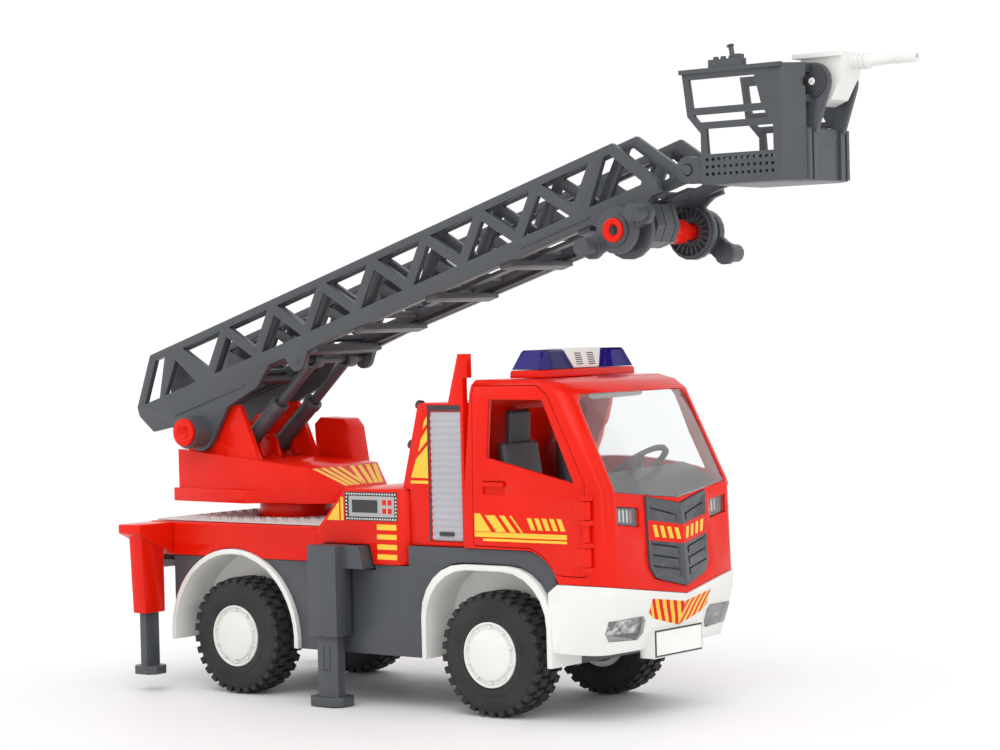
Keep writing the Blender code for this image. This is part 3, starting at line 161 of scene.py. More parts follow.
def rubber(name, colour):
    material, principled = shader(name, colour, 0.72)
    dust = noise(material, 60.0, 6.0)
    tint = ramp(material, dust, [(0.35, colour), (0.75, [c * 1.8 + 0.004 for c in colour])])
    material.node_tree.links.new(tint, principled.inputs["Base Color"])
    material.node_tree.links.new(spread(material, noise(material, 400.0), 0.6, 0.85),
                                 principled.inputs["Roughness"])
    bump(material, principled, noise(material, 2200.0, 3.0), 0.3)
    return material


def clear(name, colour, roughness, transmission=0.95):
    material, principled = shader(name, colour, roughness)
    principled.inputs["Transmission Weight"].default_value = transmission
    principled.inputs["IOR"].default_value = 1.08
    principled.inputs["Coat Weight"].default_value = 0.8
    principled.inputs["Coat Roughness"].default_value = 0.03
    smear = noise(material, 30.0, 5.0, 0.6)
    links = material.node_tree.links
    links.new(ramp(material, smear, [(0.3, colour), (0.8, [c * 0.94 for c in colour])]),
              principled.inputs["Base Color"])
    links.new(spread(material, smear, roughness, roughness + 0.05), principled.inputs["Roughness"])
    return material


def faceted_painted_glints(name):
    """Bright reflector film broken into small cells, each cell painted dark or bright as painted reflections
    and glints of the facets.
    """
    material, principled = shader(name, (0.8, 0.8, 0.82), 0.12, Metallic=0.85)
    nodes, links = material.node_tree.nodes, material.node_tree.links
    place = nodes.new("ShaderNodeTexCoord")
    cells = nodes.new("ShaderNodeTexVoronoi")
    cells.inputs["Scale"].default_value = 420.0
    links.new(place.outputs["Object"], cells.inputs["Vector"])
    # painted reflection: every cell gets a random dark or bright colour that stands in for the glints and
    # dark reflections of the facets
    tint = ramp(material, cells.outputs["Color"], [(0.15, (0.12, 0.12, 0.13)), (0.75, (0.95, 0.95, 0.95))])
    links.new(tint, principled.inputs["Base Color"])
    bump(material, principled, cells.outputs["Distance"], 0.5, 0.0006)
    return material


RED = (0.78, 0.010, 0.001)
MATERIALS = {
    "red": moulded("red_plastic", RED, 0.20, strength=0.03, Specular_IOR_Level=0.2),
    "grey": moulded("grey_plastic", (0.062, 0.068, 0.078), 0.38, strength=0.2),
    "dark": moulded("dark_plastic", (0.030, 0.033, 0.037), 0.45, strength=0.2),
    "white": moulded("white_plastic", (0.80, 0.80, 0.77), 0.32),
    "tyre": rubber("tyre_rubber", (0.014, 0.014, 0.015)),
    "clear": clear("clear_plastic", (0.93, 0.95, 0.95), 0.03),
    "blue": clear("blue_lens", (0.022, 0.010, 0.24), 0.05, 0.6),
    "shutter": moulded("shutter_plastic", (0.44, 0.44, 0.48), 0.38),
    "chrome": moulded("bright_film", (0.70, 0.71, 0.73), 0.16, Metallic=1.0),
    "steel": moulded("axle_steel", (0.50, 0.51, 0.53), 0.30, Metallic=1.0),
    "film_red": moulded("red_film", (0.72, 0.012, 0.002), 0.30, strength=0.03, Specular_IOR_Level=0.2),
    "film_yellow": moulded("yellow_film", (0.90, 0.56, 0.035), 0.35, strength=0.04),
    "film_grey": moulded("grey_film", (0.42, 0.41, 0.41), 0.40, strength=0.04),
    "film_dark": moulded("dark_film", (0.03, 0.03, 0.032), 0.40, strength=0.04),
    "film_white": moulded("white_film", (0.84, 0.84, 0.82), 0.35, strength=0.04),
    # lamp facets with painted reflections: their dark and bright cells are painted glints
    "facets_painted_glints": faceted_painted_glints("lamp_facets_painted_glints"),
    "tread": moulded("tread_print", (0.62, 0.60, 0.60), 0.42, strength=0.1),
}


# ---- making pieces --------------------------------------------------------------------
def in_scene(name, data):
    """A new object in the scene that holds a mesh, a light or a camera."""
    made = bpy.data.objects.new(name, data)
    bpy.context.scene.collection.objects.link(made)
    return made


def mesh_of(builder, name):
    mesh = bpy.data.meshes.new(name)
    builder.to_mesh(mesh)
    builder.free()
    return mesh


def framed(builder, name):
    """A mesh in the frame's metres from a builder in vehicle millimetres, its faces turned outwards."""
    bmesh.ops.recalc_face_normals(builder, faces=builder.faces)
    bmesh.ops.transform(builder, verts=builder.verts,
                        matrix=Matrix.Translation(SHIFT) @ Matrix.Scale(MM, 4))
    return mesh_of(builder, name)


def placed(builder, name, material, body, replaces=(), smooth=35.0):
    """Turn a mesh in vehicle millimetres into a piece that rides on a body."""
    mesh = framed(builder, name)
    mesh.shade_smooth()
    mesh.set_sharp_from_angle(angle=math.radians(smooth))
    return linked(mesh, name, material, body, replaces)


def linked(mesh, name, material, body, replaces=()):
    piece = in_scene(name, mesh)
    mesh.materials.clear()
    mesh.materials.append(MATERIALS[material])
    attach(piece, body)
    if replaces:
        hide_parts(*replaces)
    return piece


def body_of(node):
    return frame["nodes"][node]["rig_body"]


def finished(node, material, width):
    """A copy of a CAD node with its flat faces joined and its edges rounded."""
    builder = bmesh.new()
    builder.from_mesh(frame["nodes"][node].data)
    bmesh.ops.remove_doubles(builder, verts=builder.verts, dist=WELD_M)
    bmesh.ops.join_triangles(builder, faces=builder.faces, angle_face_threshold=math.radians(1.0),
                             angle_shape_threshold=math.radians(180.0))
    name = node + "_finish"
    piece = linked(mesh_of(builder, name), name, material, body_of(node), (node,))
    bevel = piece.modifiers.new("Round", "BEVEL")
    bevel.width = width * MM
    bevel.segments = 2
    bevel.limit_method = "ANGLE"
    bevel.angle_limit = ROUND_OVER
    bevel.miter_outer = "MITER_ARC"
    bake_modifiers(piece)
    return piece


def bake_modifiers(piece):
    """Replace a piece's mesh by what its modifiers make of it."""
    graph = bpy.context.evaluated_depsgraph_get()
    mesh = bpy.data.meshes.new_from_object(piece.evaluated_get(graph))
    piece.modifiers.clear()
    piece.data = mesh
    mesh.shade_smooth()
    mesh.set_sharp_from_angle(angle=SMOOTH_UNDER)


def add_box(builder, low, high):
    made = bmesh.ops.create_cube(builder, size=1.0)["verts"]
    size = [high[k] - low[k] for k in range(3)]
    centre = [(high[k] + low[k]) / 2 for k in range(3)]
    bmesh.ops.transform(builder, verts=made,
                        matrix=Matrix.Translation(centre) @ Matrix.Diagonal((*size, 1.0)))
    return made


def add_rod(builder, start, end, radius, end_radius=None, sides=24):
    start, end = Vector(start), Vector(end)
    along = end - start
    made = bmesh.ops.create_cone(builder, cap_ends=True, segments=sides, radius1=radius,
                                 radius2=radius if end_radius is None else end_radius,
                                 depth=along.length)["verts"]
    turn = along.to_track_quat("Z", "Y").to_matrix().to_4x4()
    bmesh.ops.transform(builder, verts=made, matrix=Matrix.Translation((start + end) / 2) @ turn)
    return made


def add_lathe(builder, profile, centre, side=1, sides=48, closed=True):
    """Rings of (radius, offset along Y times side) joined round an axis along Y."""
    rings = []
    for radius, offset in profile:
        ring = []
        for k in range(sides):
            turn = math.tau * k / sides
            ring.append(builder.verts.new((centre[0] + radius * math.cos(turn), centre[1] + side * offset,
                                           centre[2] + radius * math.sin(turn))))
        rings.append(ring)
    pairs = list(zip(rings, rings[1:]))
    if closed:
        pairs.append((rings[-1], rings[0]))
    for near, far in pairs:
        for k in range(sides):
            after = (k + 1) % sides
            builder.faces.new((near[k], near[after], far[after], far[k]))
    if not closed:
        builder.faces.new(rings[0])
        builder.faces.new(list(reversed(rings[-1])))


def add_prism(builder, low, high):
    """Walls between two rings of points, and a cap on each."""
    builder.faces.new(list(reversed(low)))
    builder.faces.new(high)
    for k in range(len(low)):
        after = (k + 1) % len(low)
        builder.faces.new((low[k], low[after], high[after], high[k]))


def add_slab(builder, corners, thickness):
    """A closed plate from a loop of points, thickened along its own normal."""
    points = [Vector(corner) for corner in corners]
    normal = Vector((0.0, 0.0, 0.0))
    for k, point in enumerate(points):
        normal += point.cross(points[(k + 1) % len(points)])
    normal.normalize()
    low = [builder.verts.new(point) for point in points]
    high = [builder.verts.new(point + normal * thickness) for point in points]
    add_prism(builder, low, high)


# ---- printed film ---------------------------------------------------------------------
def surface(*nodes):
    """A tree of CAD faces in vehicle millimetres, to lay film on."""
    points, faces = [], []
    for node in nodes:
        mesh = frame["nodes"][node].data
        start = len(points)
        points += [(vertex.co - SHIFT) / MM for vertex in mesh.vertices]
        faces += [[start + k for k in face.vertices] for face in mesh.polygons]
    return BVHTree.FromPolygons(points, faces)


# Each view's direction, and the point outside the object where a ray starts, from two coordinates.
VIEWS = {"right": (Vector((0, 1, 0)), lambda a, b: Vector((a, -400, b))),
         "left": (Vector((0, -1, 0)), lambda a, b: Vector((a, 400, b))),
         "front": (Vector((-1, 0, 0)), lambda a, b: Vector((900, a, b))),
         "top": (Vector((0, 0, -1)), lambda a, b: Vector((a, b, 900)))}


def first_hit(tree, view, point, centre):
    """Where a view meets the surface at a point, or beside it where the point is just off an edge."""
    towards, start = VIEWS[view]
    for step in range(16):
        share = step * 0.04  # of the way to the patch's centre
        near = [point[k] + (centre[k] - point[k]) * share for k in range(2)]
        hit, normal, _, distance = tree.ray_cast(start(*near), towards)
        if hit is not None:
            return start(*point) + towards * distance, normal if normal.dot(towards) < 0 else -normal
    raise ValueError("no surface under the film at %s" % (point,))


def add_film(builder, tree, view, corners, lift=0.12, steps=(1, 1), base=-0.1, relief=0.0):
    """A thin patch laid on the surface that a view meets first.

    Corners are four points, or a function that gives the point at two shares. The patch reaches from base
    to lift above the surface, and relief raises every second point of its grid.
    """
    def between(s, t):
        low = [corners[0][k] + (corners[1][k] - corners[0][k]) * s for k in range(2)]
        high = [corners[3][k] + (corners[2][k] - corners[3][k]) * s for k in range(2)]
        return [low[k] + (high[k] - low[k]) * t for k in range(2)]

    across, up = steps
    where = corners if callable(corners) else between
    centre = where(0.5, 0.5)
    grid = []
    for row in range(up + 1):
        line = []
        for column in range(across + 1):
            hit, normal = first_hit(tree, view, where(column / across, row / up), centre)
            raised = lift + relief * ((row + column) % 2)
            line.append((builder.verts.new(hit + normal * raised), builder.verts.new(hit + normal * base)))
        grid.append(line)
    for layer in (0, 1):
        for row in range(up):
            for column in range(across):
                face = (grid[row][column], grid[row][column + 1], grid[row + 1][column + 1],
                        grid[row + 1][column])
                builder.faces.new([corner[layer] for corner in face])
    rim = [grid[0][c] for c in range(across + 1)] + [grid[r][across] for r in range(1, up + 1)]
    rim += [grid[up][c] for c in range(across - 1, -1, -1)] + [grid[r][0] for r in range(up - 1, 0, -1)]
    for k, corner in enumerate(rim):
        after = rim[(k + 1) % len(rim)]
        builder.faces.new((corner[0], after[0], after[1], corner[1]))


# ---- carried over from the frame, with rounded edges -----------------------------------
# Width of the rounding in mm for each node, by material.
ROUNDED = {
    "red": {"rear_body": 0.7, "locker_tower": 0.7, "cab_shell": 0.45, "cab_door_right": 0.4,
            "cab_door_left": 0.4, "light_bar_base": 0.6, "turntable": 0.6, "turntable_pedestal": 0.5,
            "operator_cabin": 0.8, "ladder_pivot_shaft": 0.4, "winch_shaft": 0.4,
            "rear_outrigger_arm_right": 0.7, "rear_outrigger_arm_left": 0.7},
    "grey": {"chassis_frame": 0.6, "hose_reel": 0.4, "dashboard": 0.9, "steering_wheel": 0.35, "seats": 0.8,
             "middle_outrigger_beam_right": 0.7, "middle_outrigger_beam_left": 0.7,
             "middle_outrigger_foot_right": 0.5, "middle_outrigger_foot_left": 0.5,
             "rear_outrigger_foot_right": 0.5, "rear_outrigger_foot_left": 0.5,
             "outer_ladder": 0.45, "inner_ladder": 0.4, "crank_handle_right": 0.5, "crank_handle_left": 0.5,
             "ram_barrel_right": 0.3, "ram_barrel_left": 0.3, "ram_rod_right": 0.3, "ram_rod_left": 0.3,
             "rescue_basket": 0.3, "grille": 0.3},
    "white": {"rear_fender_right": 0.5, "rear_fender_left": 0.5, "front_bumper": 0.6,
              "light_bar_centre": 0.8, "water_cannon": 0.35},
    "clear": {"windscreen": 0.3, "headlight_right": 0.3, "headlight_left": 0.3,
              "indicator_lens_right": 0.2, "indicator_lens_left": 0.2},
    "shutter": {"roller_shutter_right": 0.15, "roller_shutter_left": 0.15},
    "steel": {"front_axle": 0.2, "rear_axle": 0.2},
    "tread": {"bed_tread_plate": 0.1},
}
PIECES = {node: finished(node, material, width)
          for material, nodes in ROUNDED.items() for node, width in nodes.items()}


def carve(node, builder):
    """Cut the shapes of a builder, in vehicle millimetres, out of a finished piece."""
    cutter = in_scene("cutter", framed(builder, "cutter"))
    step = PIECES[node].modifiers.new("Carve", "BOOLEAN")
    step.operation = "DIFFERENCE"
    step.solver = "EXACT"
    step.use_self = True
    step.object = cutter
    bake_modifiers(PIECES[node])
    bpy.data.objects.remove(cutter, do_unlink=True)


# ---- wheels -----------------------------------------------------------------------------
WHEEL_OUTER = -local("rear_tyre_right")[0].y
RIM_R = (local("rear_rim_right")[1].z - local("rear_rim_right")[0].z) / 2


def add_knob(builder, centre, angle, radius, offset, size):
    """A block that stands out from an axis along Y at an angle."""
    made = bmesh.ops.create_cube(builder, size=1.0)["verts"]
    bmesh.ops.transform(builder, verts=made, matrix=Matrix.Translation(centre)
                        @ Matrix.Rotation(angle, 4, "Y") @ Matrix.Translation((radius, offset, 0.0))
                        @ Matrix.Diagonal((*size, 1.0)))


def tyre_piece(label, x, hand, side):
    """A tyre turned from its profile, with two rows of tread blocks on each half."""
    builder = bmesh.new()
    centre = Vector((x, side * (WHEEL_OUTER - 10.0), TYRE_R))
    outer = [(RIM_R + 0.1, 8.6), (RIM_R + 0.5, 9.7), (18.6, 10.0), (19.0, 10.3), (19.6, 10.3), (20.0, 10.0),
             (TYRE_R - 5.6, 10.0), (TYRE_R - 3.4, 9.4), (TYRE_R - 2.0, 8.0), (TYRE_R - 1.5, 5.0),
             (TYRE_R - 1.4, 0.0)]
    profile = outer + [(radius, -offset) for radius, offset in reversed(outer[:-1])]
    add_lathe(builder, profile, centre, side, 72)
    knobs = 30
    for k in range(knobs):
        angle = math.tau * k / knobs
        for row in (-1, 1):
            turn = angle + (row + 1) * math.pi / knobs / 2
            add_knob(builder, centre, turn, TYRE_R - 0.9, row * 3.1, (1.8, 4.6, 4.2))
            add_knob(builder, centre, turn + math.pi / knobs, TYRE_R - 1.9, row * 7.6, (2.6, 3.6, 3.4))
    node = "%s_tyre_%s" % (label, hand)
    placed(builder, node + "_tread", "tyre", body_of(node), (node,))


def rim_piece(label, x, hand, side):
    """A rim turned from its profile, with a ring of lugs in the groove round its cap."""
    builder = bmesh.new()
    centre = (x, side * WHEEL_OUTER, TYRE_R)
    profile = [(3.6, 0.9), (10.8, 0.8), (12.0, 0.4), (12.5, -0.4), (12.7, -1.6), (14.3, -1.7),
               (14.7, -0.6), (15.0, 0.0), (15.5, 0.0), (RIM_R, -0.4), (RIM_R, -18.8),
               (13.2, -18.8), (13.0, -9.0), (5.2, -9.0), (5.0, -18.4)]
    add_lathe(builder, profile, centre, side, 64, closed=False)
    lugs, lug_r = 10, 13.4
    for k in range(lugs):
        angle = math.tau * (k + 0.5) / lugs
        place = Vector((x + lug_r * math.cos(angle), 0.0, TYRE_R + lug_r * math.sin(angle)))
        root = place + Vector((0, side * (WHEEL_OUTER - 2.2), 0))
        add_rod(builder, root, root + Vector((0, side * 2.0, 0)), 0.95, 0.7, 12)
    node = "%s_rim_%s" % (label, hand)
    placed(builder, node + "_face", "white", body_of(node), (node,))


for label, x in (("rear", 0.0), ("front", WHEELBASE)):
    for hand, side in SIDES:
        tyre_piece(label, x, hand, side)
        rim_piece(label, x, hand, side)


# ---- light bar --------------------------------------------------------------------------
def beacon(hand, side):
    """A blue lens with upright ridges along it, its ends sloping inwards."""
    low, high = local("beacon_lens_" + hand)
    near, far = sorted((abs(low.y), abs(high.y)))
    builder = bmesh.new()
    sections = []
    stations, depth, slope = 44, 0.32, 5.0
    for k in range(stations + 1):
        share = k / stations
        ridge = depth * (k % 2)
        ring = []
        for x, z in ((low.x, low.z), (low.x + 2.3, high.z - 0.9), (low.x + 3.4, high.z),
                     (high.x - 3.4, high.z), (high.x - 2.3, high.z - 0.9), (high.x, low.z)):
            rise = (z - low.z) / (high.z - low.z)
            y = (near + slope * rise) + (far - near - 2 * slope * rise) * share
            inward = ridge if x < (low.x + high.x) / 2 else -ridge
            ring.append(builder.verts.new((x + inward, side * y, z - ridge * (rise > 0.5))))
        sections.append(ring)
    for first, second in zip(sections, sections[1:]):
        for k in range(len(first)):
            after = (k + 1) % len(first)
            builder.faces.new((first[k], first[after], second[after], second[k]))
    builder.faces.new(sections[0])
    builder.faces.new(list(reversed(sections[-1])))
    placed(builder, "beacon_ridged_" + hand, "blue", body_of("beacon_lens_" + hand),
           ("beacon_lens_" + hand,), smooth=8.0)


for hand, side in SIDES:
    beacon(hand, side)


# ---- printed film and small trim ----------------------------------------------------------
def film(name, nodes, view, material, quads, lift=0.14, steps=(1, 1), **more):
    """Patches laid on the surface of some nodes, as one piece that rides with the first of them."""
    builder = bmesh.new()
    tree = surface(*nodes)
    for quad in quads:
        add_film(builder, tree, view, quad, lift, steps, **more)
    return placed(builder, name, material, body_of(nodes[0]))


def rectangle(a_low, a_high, b_low, b_high):
    return [(a_low, b_low), (a_high, b_low), (a_high, b_high), (a_low, b_high)]


def both_halves(quads):
    """Quads in a front view and their mirror images."""
    return quads + [[(-y, z) for y, z in reversed(quad)] for quad in quads]


def slanted(start, end, low, high, lean):
    """A bar whose top lies further along by lean."""
    return [(start, low), (end, low), (end + lean, high), (start + lean, high)]


# Shapes on the sides, as (X, Z) corners. The decoration stands for words and signs, which are left out.
BED_RED = [rectangle(-56.0, 58.0, 76.6, 87.0)]
BOX_RED = [[(63.0, 89.2), (112.0, 89.2), (112.0, 106.6), (79.4, 106.6)],
           rectangle(61.0, 112.0, 81.0, 89.2),
           [(99.2, 71.6), (112.0, 71.6), (112.0, 81.0), (98.4, 81.0)]]
BOX_YELLOW = [[(65.8, 91.8), (74.2, 91.8), (74.2, 100.9), (73.6, 100.9)],
              rectangle(75.2, 77.0, 91.8, 103.4),
              rectangle(98.8, 111.5, 87.7, 90.4), rectangle(98.8, 111.5, 83.1, 85.5),
              rectangle(98.8, 111.5, 78.1, 80.6), rectangle(98.8, 111.5, 73.2, 75.7)]
PANEL_DARK = [rectangle(78.0, 112.0, 92.0, 106.2)]
PANEL_PLATE = [rectangle(80.8, 110.4, 94.0, 104.2)]
PANEL_SCREEN = [rectangle(82.9, 99.6, 96.0, 102.3)]
PANEL_DOTS = [rectangle(x, x + 0.8, z, z + 0.8)
              for x, z in [(79.0 + k * 1.66, z) for k in range(20) for z in (92.5, 104.8)]
              + [(x, 92.5 + k * 1.76) for k in range(1, 7) for x in (78.7, 111.0)]]
PANEL_BUTTONS = [rectangle(x - 1.2, x + 1.2, z - 1.3, z + 1.3)
                 for x in (104.0, 107.6) for z in (97.0, 101.2)]
TOWER_YELLOW = [[(119.3, 113.7), (130.1, 113.5), (130.1, 129.5), (122.7, 122.6)],
                [(124.2, 126.2), (130.1, 131.8), (130.1, 137.5), (126.0, 132.4)],
                [(127.2, 137.0), (130.1, 140.0), (130.1, 143.5), (128.4, 141.2)],
                rectangle(119.0, 130.1, 110.8, 112.2)]
TOWER_FRAME = [rectangle(130.3, 131.4, 82.8, 149.0), rectangle(131.4, 151.0, 146.3, 149.0)]
DOOR_BLOCK = [[(161.0, 89.0), (171.0, 89.0), (164.4, 97.5), (161.0, 97.5)]]
DOOR_BARS = [slanted(start, end, 89.0, 96.8, -6.8)
             for start, end in ((174.2, 180.2), (182.8, 186.0), (189.0, 190.2))]
DOOR_MARKS = [slanted(start, start + 2.6, 90.4, 96.0, -2.4)
              for start in (195.0, 199.4, 203.8, 208.2, 212.6)]
DOOR_BAND = [rectangle(161.0 + k * 11.0, 172.0 + k * 11.0, 86.4, 88.7) for k in range(5)]
DOOR_LINE = [rectangle(166.0 + k * 10.0, 176.0 + k * 10.0, 84.5, 85.7) for k in range(5)]
DOOR_YELLOW = DOOR_BLOCK + DOOR_BARS + DOOR_MARKS + DOOR_BAND + DOOR_LINE
LEG_LATCH = [rectangle(69.8, 70.4, 17.6, 30.0), rectangle(74.0, 74.6, 17.6, 30.0),
             rectangle(70.4, 74.0, 17.6, 18.4)]

# Node, film, material, shapes, height above the surface. Films that overlap lie at different heights.
SIDE_FILMS = (("rear_body", "box_red", "film_red", BOX_RED, 0.08),
              ("rear_body", "bed_red", "film_red", BED_RED, 0.08),
              ("rear_body", "box_yellow", "film_yellow", BOX_YELLOW, 0.16),
              ("rear_body", "panel_dark", "film_dark", PANEL_DARK, 0.16),
              ("rear_body", "panel_dots", "film_white", PANEL_DOTS, 0.22),
              ("rear_body", "panel_plate", "film_grey", PANEL_PLATE, 0.24),
              ("rear_body", "panel_screen", "film_dark", PANEL_SCREEN, 0.34),
              ("rear_body", "panel_buttons", "film_red", PANEL_BUTTONS, 0.34),
              ("locker_tower", "tower_yellow", "film_yellow", TOWER_YELLOW, 0.14),
              ("locker_tower", "tower_frame", "film_dark", TOWER_FRAME, 0.14))


def door_fittings(hand, side):
    """The grip over the recess of the handle, and the rod through the hinge's knuckles."""
    grip, rod = bmesh.new(), bmesh.new()
    low, high = sorted((side * 52.6, side * 54.7))
    add_box(grip, (166.9, low, 110.4), (179.5, high, 112.5))
    placed(grip, "handle_bar_" + hand, "red", body_of("cab_door_" + hand))
    add_rod(rod, (229.2, side * 56.4, 85.8), (229.2, side * 56.4, 93.8), 1.7)
    placed(rod, "hinge_rod_" + hand, "red", body_of("cab_shell"))


for hand, side in SIDES:
    for node, name, material, shapes, lift in SIDE_FILMS:
        film(name + "_" + hand, [node], hand, material, shapes, lift)
    film("door_yellow_" + hand, ["cab_door_" + hand], hand, "film_yellow", DOOR_YELLOW)
    door_fittings(hand, side)
    film("leg_latch_" + hand, ["middle_outrigger_foot_" + hand], hand, "dark", LEG_LATCH, 0.1)


# ---- cab front ----------------------------------------------------------------------------
def grille_slots():
    """Fine grooves that fall towards the middle and turn down at their inner ends."""
    builder = bmesh.new()
    tree = surface("grille")
    for edge, drop in ((82.6, 3.0), (77.4, 3.0), (72.2, 3.0), (99.4, 4.2)):
        groove = [(4.6, edge - drop), (22.0, edge), (22.0, edge + 0.8), (4.6, edge - drop + 0.8)]
        hook = [(3.2, edge - drop - 2.8), (4.6, edge - drop - 2.8), (4.7, edge - drop + 0.8),
                (3.2, edge - drop + 0.7)]
        for quad in both_halves([groove, hook]):
            add_film(builder, tree, "front", quad, 2.0, (2, 1), base=-1.3)
    return builder


def leaning_bar(start, width, side):
    """Where one bar of the bumper's striped band lies: it leans outwards and stops at both edges."""
    lean, outer = 6.5, 24.0
    first = max(0.0, (0.3 - start - width) / lean)
    last = min(1.0, (outer - 0.3 - start) / lean)

    def where(s, t):
        share = first + (last - first) * t
        near = min(max(start + lean * share, 0.0), outer)
        far = min(max(start + width + lean * share, 0.0), outer)
        y = near + (far - near) * s
        low, high = 42.9 + y * 0.24 + max(0.0, y - 20.0) * 0.55, 54.3 + y * 0.137
        return (side * y, low + (high - low) * share)
    return where


def chevrons(colour):
    """Every second bar of the striped band, on both halves of the bumper."""
    return [leaning_bar(k * 2.7, 2.7, side) for k in range(-3, 9) if k % 2 == colour for side in (-1, 1)]


carve("grille", grille_slots())
film("grille_band", ["grille"], "front", "film_red",
     both_halves([[(0.0, 81.6), (24.2, 84.8), (24.2, 94.2), (0.0, 90.6)]]), 0.12, (8, 1))
film("grille_bars", ["grille"], "front", "film_yellow",
     both_halves([[(y, 83.6 + y * 0.13), (y + 2.6, 83.8 + y * 0.13), (y + 4.0, 89.2 + y * 0.15),
                   (y + 1.4, 89.0 + y * 0.15)] for y in (2.0, 7.0, 12.0, 17.0)]), 0.24)
film("bumper_red", ["front_bumper"], "front", "film_red", chevrons(0), 0.14, (2, 8))
film("bumper_yellow", ["front_bumper"], "front", "film_yellow", chevrons(1), 0.14, (2, 8))
film("speaker_slots", ["light_bar_centre"], "front", "film_dark",
     both_halves([rectangle(2.4, 7.6, 166.9 + k * 1.05, 167.4 + k * 1.05) for k in range(6)]), 0.1)


def number_plate():
    """A holder, a dark border and a blank plate, one in front of the other."""
    for name, material, low, high in (
            ("plate_holder", "white", (235.5, -20.0, 28.6), (240.2, 20.0, 42.4)),
            ("plate_border", "film_dark", (240.1, -19.4, 29.2), (240.5, 19.4, 41.8)),
            ("plate_blank", "film_white", (240.3, -18.6, 30.0), (240.8, 18.6, 41.0))):
        builder = bmesh.new()
        add_box(builder, low, high)
        placed(builder, name, material, body_of("front_bumper"))


def dash_hood():
    """A pointed hood under the windscreen, rising from the glass to its rear edge."""
    builder = bmesh.new()
    loop = [(239.0, 0.0, 103.8), (236.8, 23.0, 105.6), (233.0, 44.0, 108.6),
            (213.0, 44.0, 117.0), (214.0, 23.0, 116.6), (215.0, 0.0, 116.2)]
    for side in (-1, 1):
        upper = [builder.verts.new((x, side * y, z)) for x, y, z in loop]
        lower = [builder.verts.new((x - 0.6, side * y, z - 2.4)) for x, y, z in loop]
        for a, b in ((0, 1), (1, 2)):
            builder.faces.new((upper[a], upper[b], upper[5 - b], upper[5 - a]))
            builder.faces.new((lower[a], lower[5 - a], lower[5 - b], lower[b]))
        for k in range(5):
            builder.faces.new((upper[k], lower[k], lower[k + 1], upper[k + 1]))
    bmesh.ops.remove_doubles(builder, verts=builder.verts, dist=0.01)
    return builder


def lamp_insides(hand, side):
    """What lies behind the lenses: facets with painted glints in the headlight, a dark back with bright bars
    in the indicator.
    """
    lamp, lens = ["headlight_" + hand], ["indicator_lens_" + hand]
    span = [(side * 26.4, 40.4), (side * 49.4, 41.2), (side * 49.4, 48.4), (side * 26.4, 48.6)]
    # the headlight's facets carry painted reflections: their dark and bright cells are painted glints
    film("reflector_" + hand, lamp, "front", "facets_painted_glints", [span], -3.7, (14, 4), base=-6.4, relief=-1.5)
    housing = [(side * 29.6, 91.8), (side * 44.4, 93.8), (side * 44.4, 101.3), (side * 29.6, 99.8)]
    film("indicator_back_" + hand, lens, "front", "film_dark", [housing], -2.7, (6, 1), base=-3.4)
    bars = []
    for y in (31.0, 33.6, 36.2, 38.8, 41.4):
        low, high = 93.0 + (y - 29.0) * 0.13, 98.9 + (y - 29.0) * 0.1
        bars.append([(side * y, low), (side * (y + 1.3), low + 0.2), (side * (y + 1.3), high + 0.1),
                     (side * y, high)])
    film("indicator_bars_" + hand, lens, "front", "chrome", bars, -2.45, base=-2.8)


placed(dash_hood(), "dash_hood", "grey", body_of("dashboard"))
number_plate()
for hand, side in SIDES:
    lamp_insides(hand, side)


# ---- basket, ladder and turntable ---------------------------------------------------------
def kick_plate_holes():
    """Rows of round holes through the basket's lower side panels."""
    builder = bmesh.new()
    for side in (-1, 1):
        for row in range(3):
            for k in range(12):
                x, z = 279.8 + k * 3.2, 253.2 + row * 3.35
                add_rod(builder, (x, side * 22.0, z), (x, side * 28.0, z), 0.85, sides=10)
    return builder


def trunnion(hand, side):
    """A disc and a light hub on the basket's post, where the water cannon turns."""
    disc, hub = bmesh.new(), bmesh.new()
    centre = (329.0, side * 12.85, 292.5)
    add_lathe(disc, [(1.6, 0.0), (1.6, 1.0), (6.4, 1.0), (7.2, 0.6), (7.4, 0.0)], centre, side, 48)
    add_lathe(hub, [(0.4, 0.2), (0.4, 1.4), (1.3, 1.4), (1.7, 1.0), (1.7, 0.2)], centre, side, 24)
    placed(disc, "trunnion_disc_" + hand, "dark", body_of("rescue_basket"))
    placed(hub, "trunnion_hub_" + hand, "white", body_of("rescue_basket"))


def crank_ring(hand, side):
    """A ring round the shaft's end, on the outer face of a crank handle."""
    ring = bmesh.new()
    add_lathe(ring, [(2.4, 0.4), (3.2, 1.4), (5.0, 1.8), (5.6, 1.4), (5.6, 0.0), (2.4, 0.0)],
              (SHAFT.x, side * 38.6, SHAFT.z), side, 40)
    placed(ring, "crank_ring_" + hand, "red", body_of("crank_handle_" + hand))


carve("rescue_basket", kick_plate_holes())
for hand, side in SIDES:
    trunnion(hand, side)
    crank_ring(hand, side)


def basket_trim():
    """Flanged top rail, ribs down the front plate and the controls on the rail."""
    builder = bmesh.new()
    for side in (-1, 1):
        add_slab(builder, [(266.0, side * 24.4, 299.4), (320.6, side * 24.4, 299.4),
                           (320.6, side * 27.0, 299.4), (266.0, side * 27.0, 299.4)], side * 2.0)
        for near, far in ((9.8, 13.4), (15.0, 17.2)):
            low, high = sorted((side * near, side * far))
            add_box(builder, (327.8, low, 249.0), (329.3, high, 271.6))
    for x, radius in ((284.6, 1.5), (288.6, 1.5), (292.4, 1.0)):
        add_rod(builder, (x, -23.6, 304.6), (x, -23.6, 306.4), radius, radius * 0.8, 16)
    add_box(builder, (295.0, -25.6, 304.4), (298.4, -21.4, 306.8))
    add_rod(builder, (292.6, -23.6, 310.6), (292.4, -23.6, 311.4), 1.9, 1.5, 16)
    return builder


placed(basket_trim(), "basket_trim", "grey", body_of("rescue_basket"))


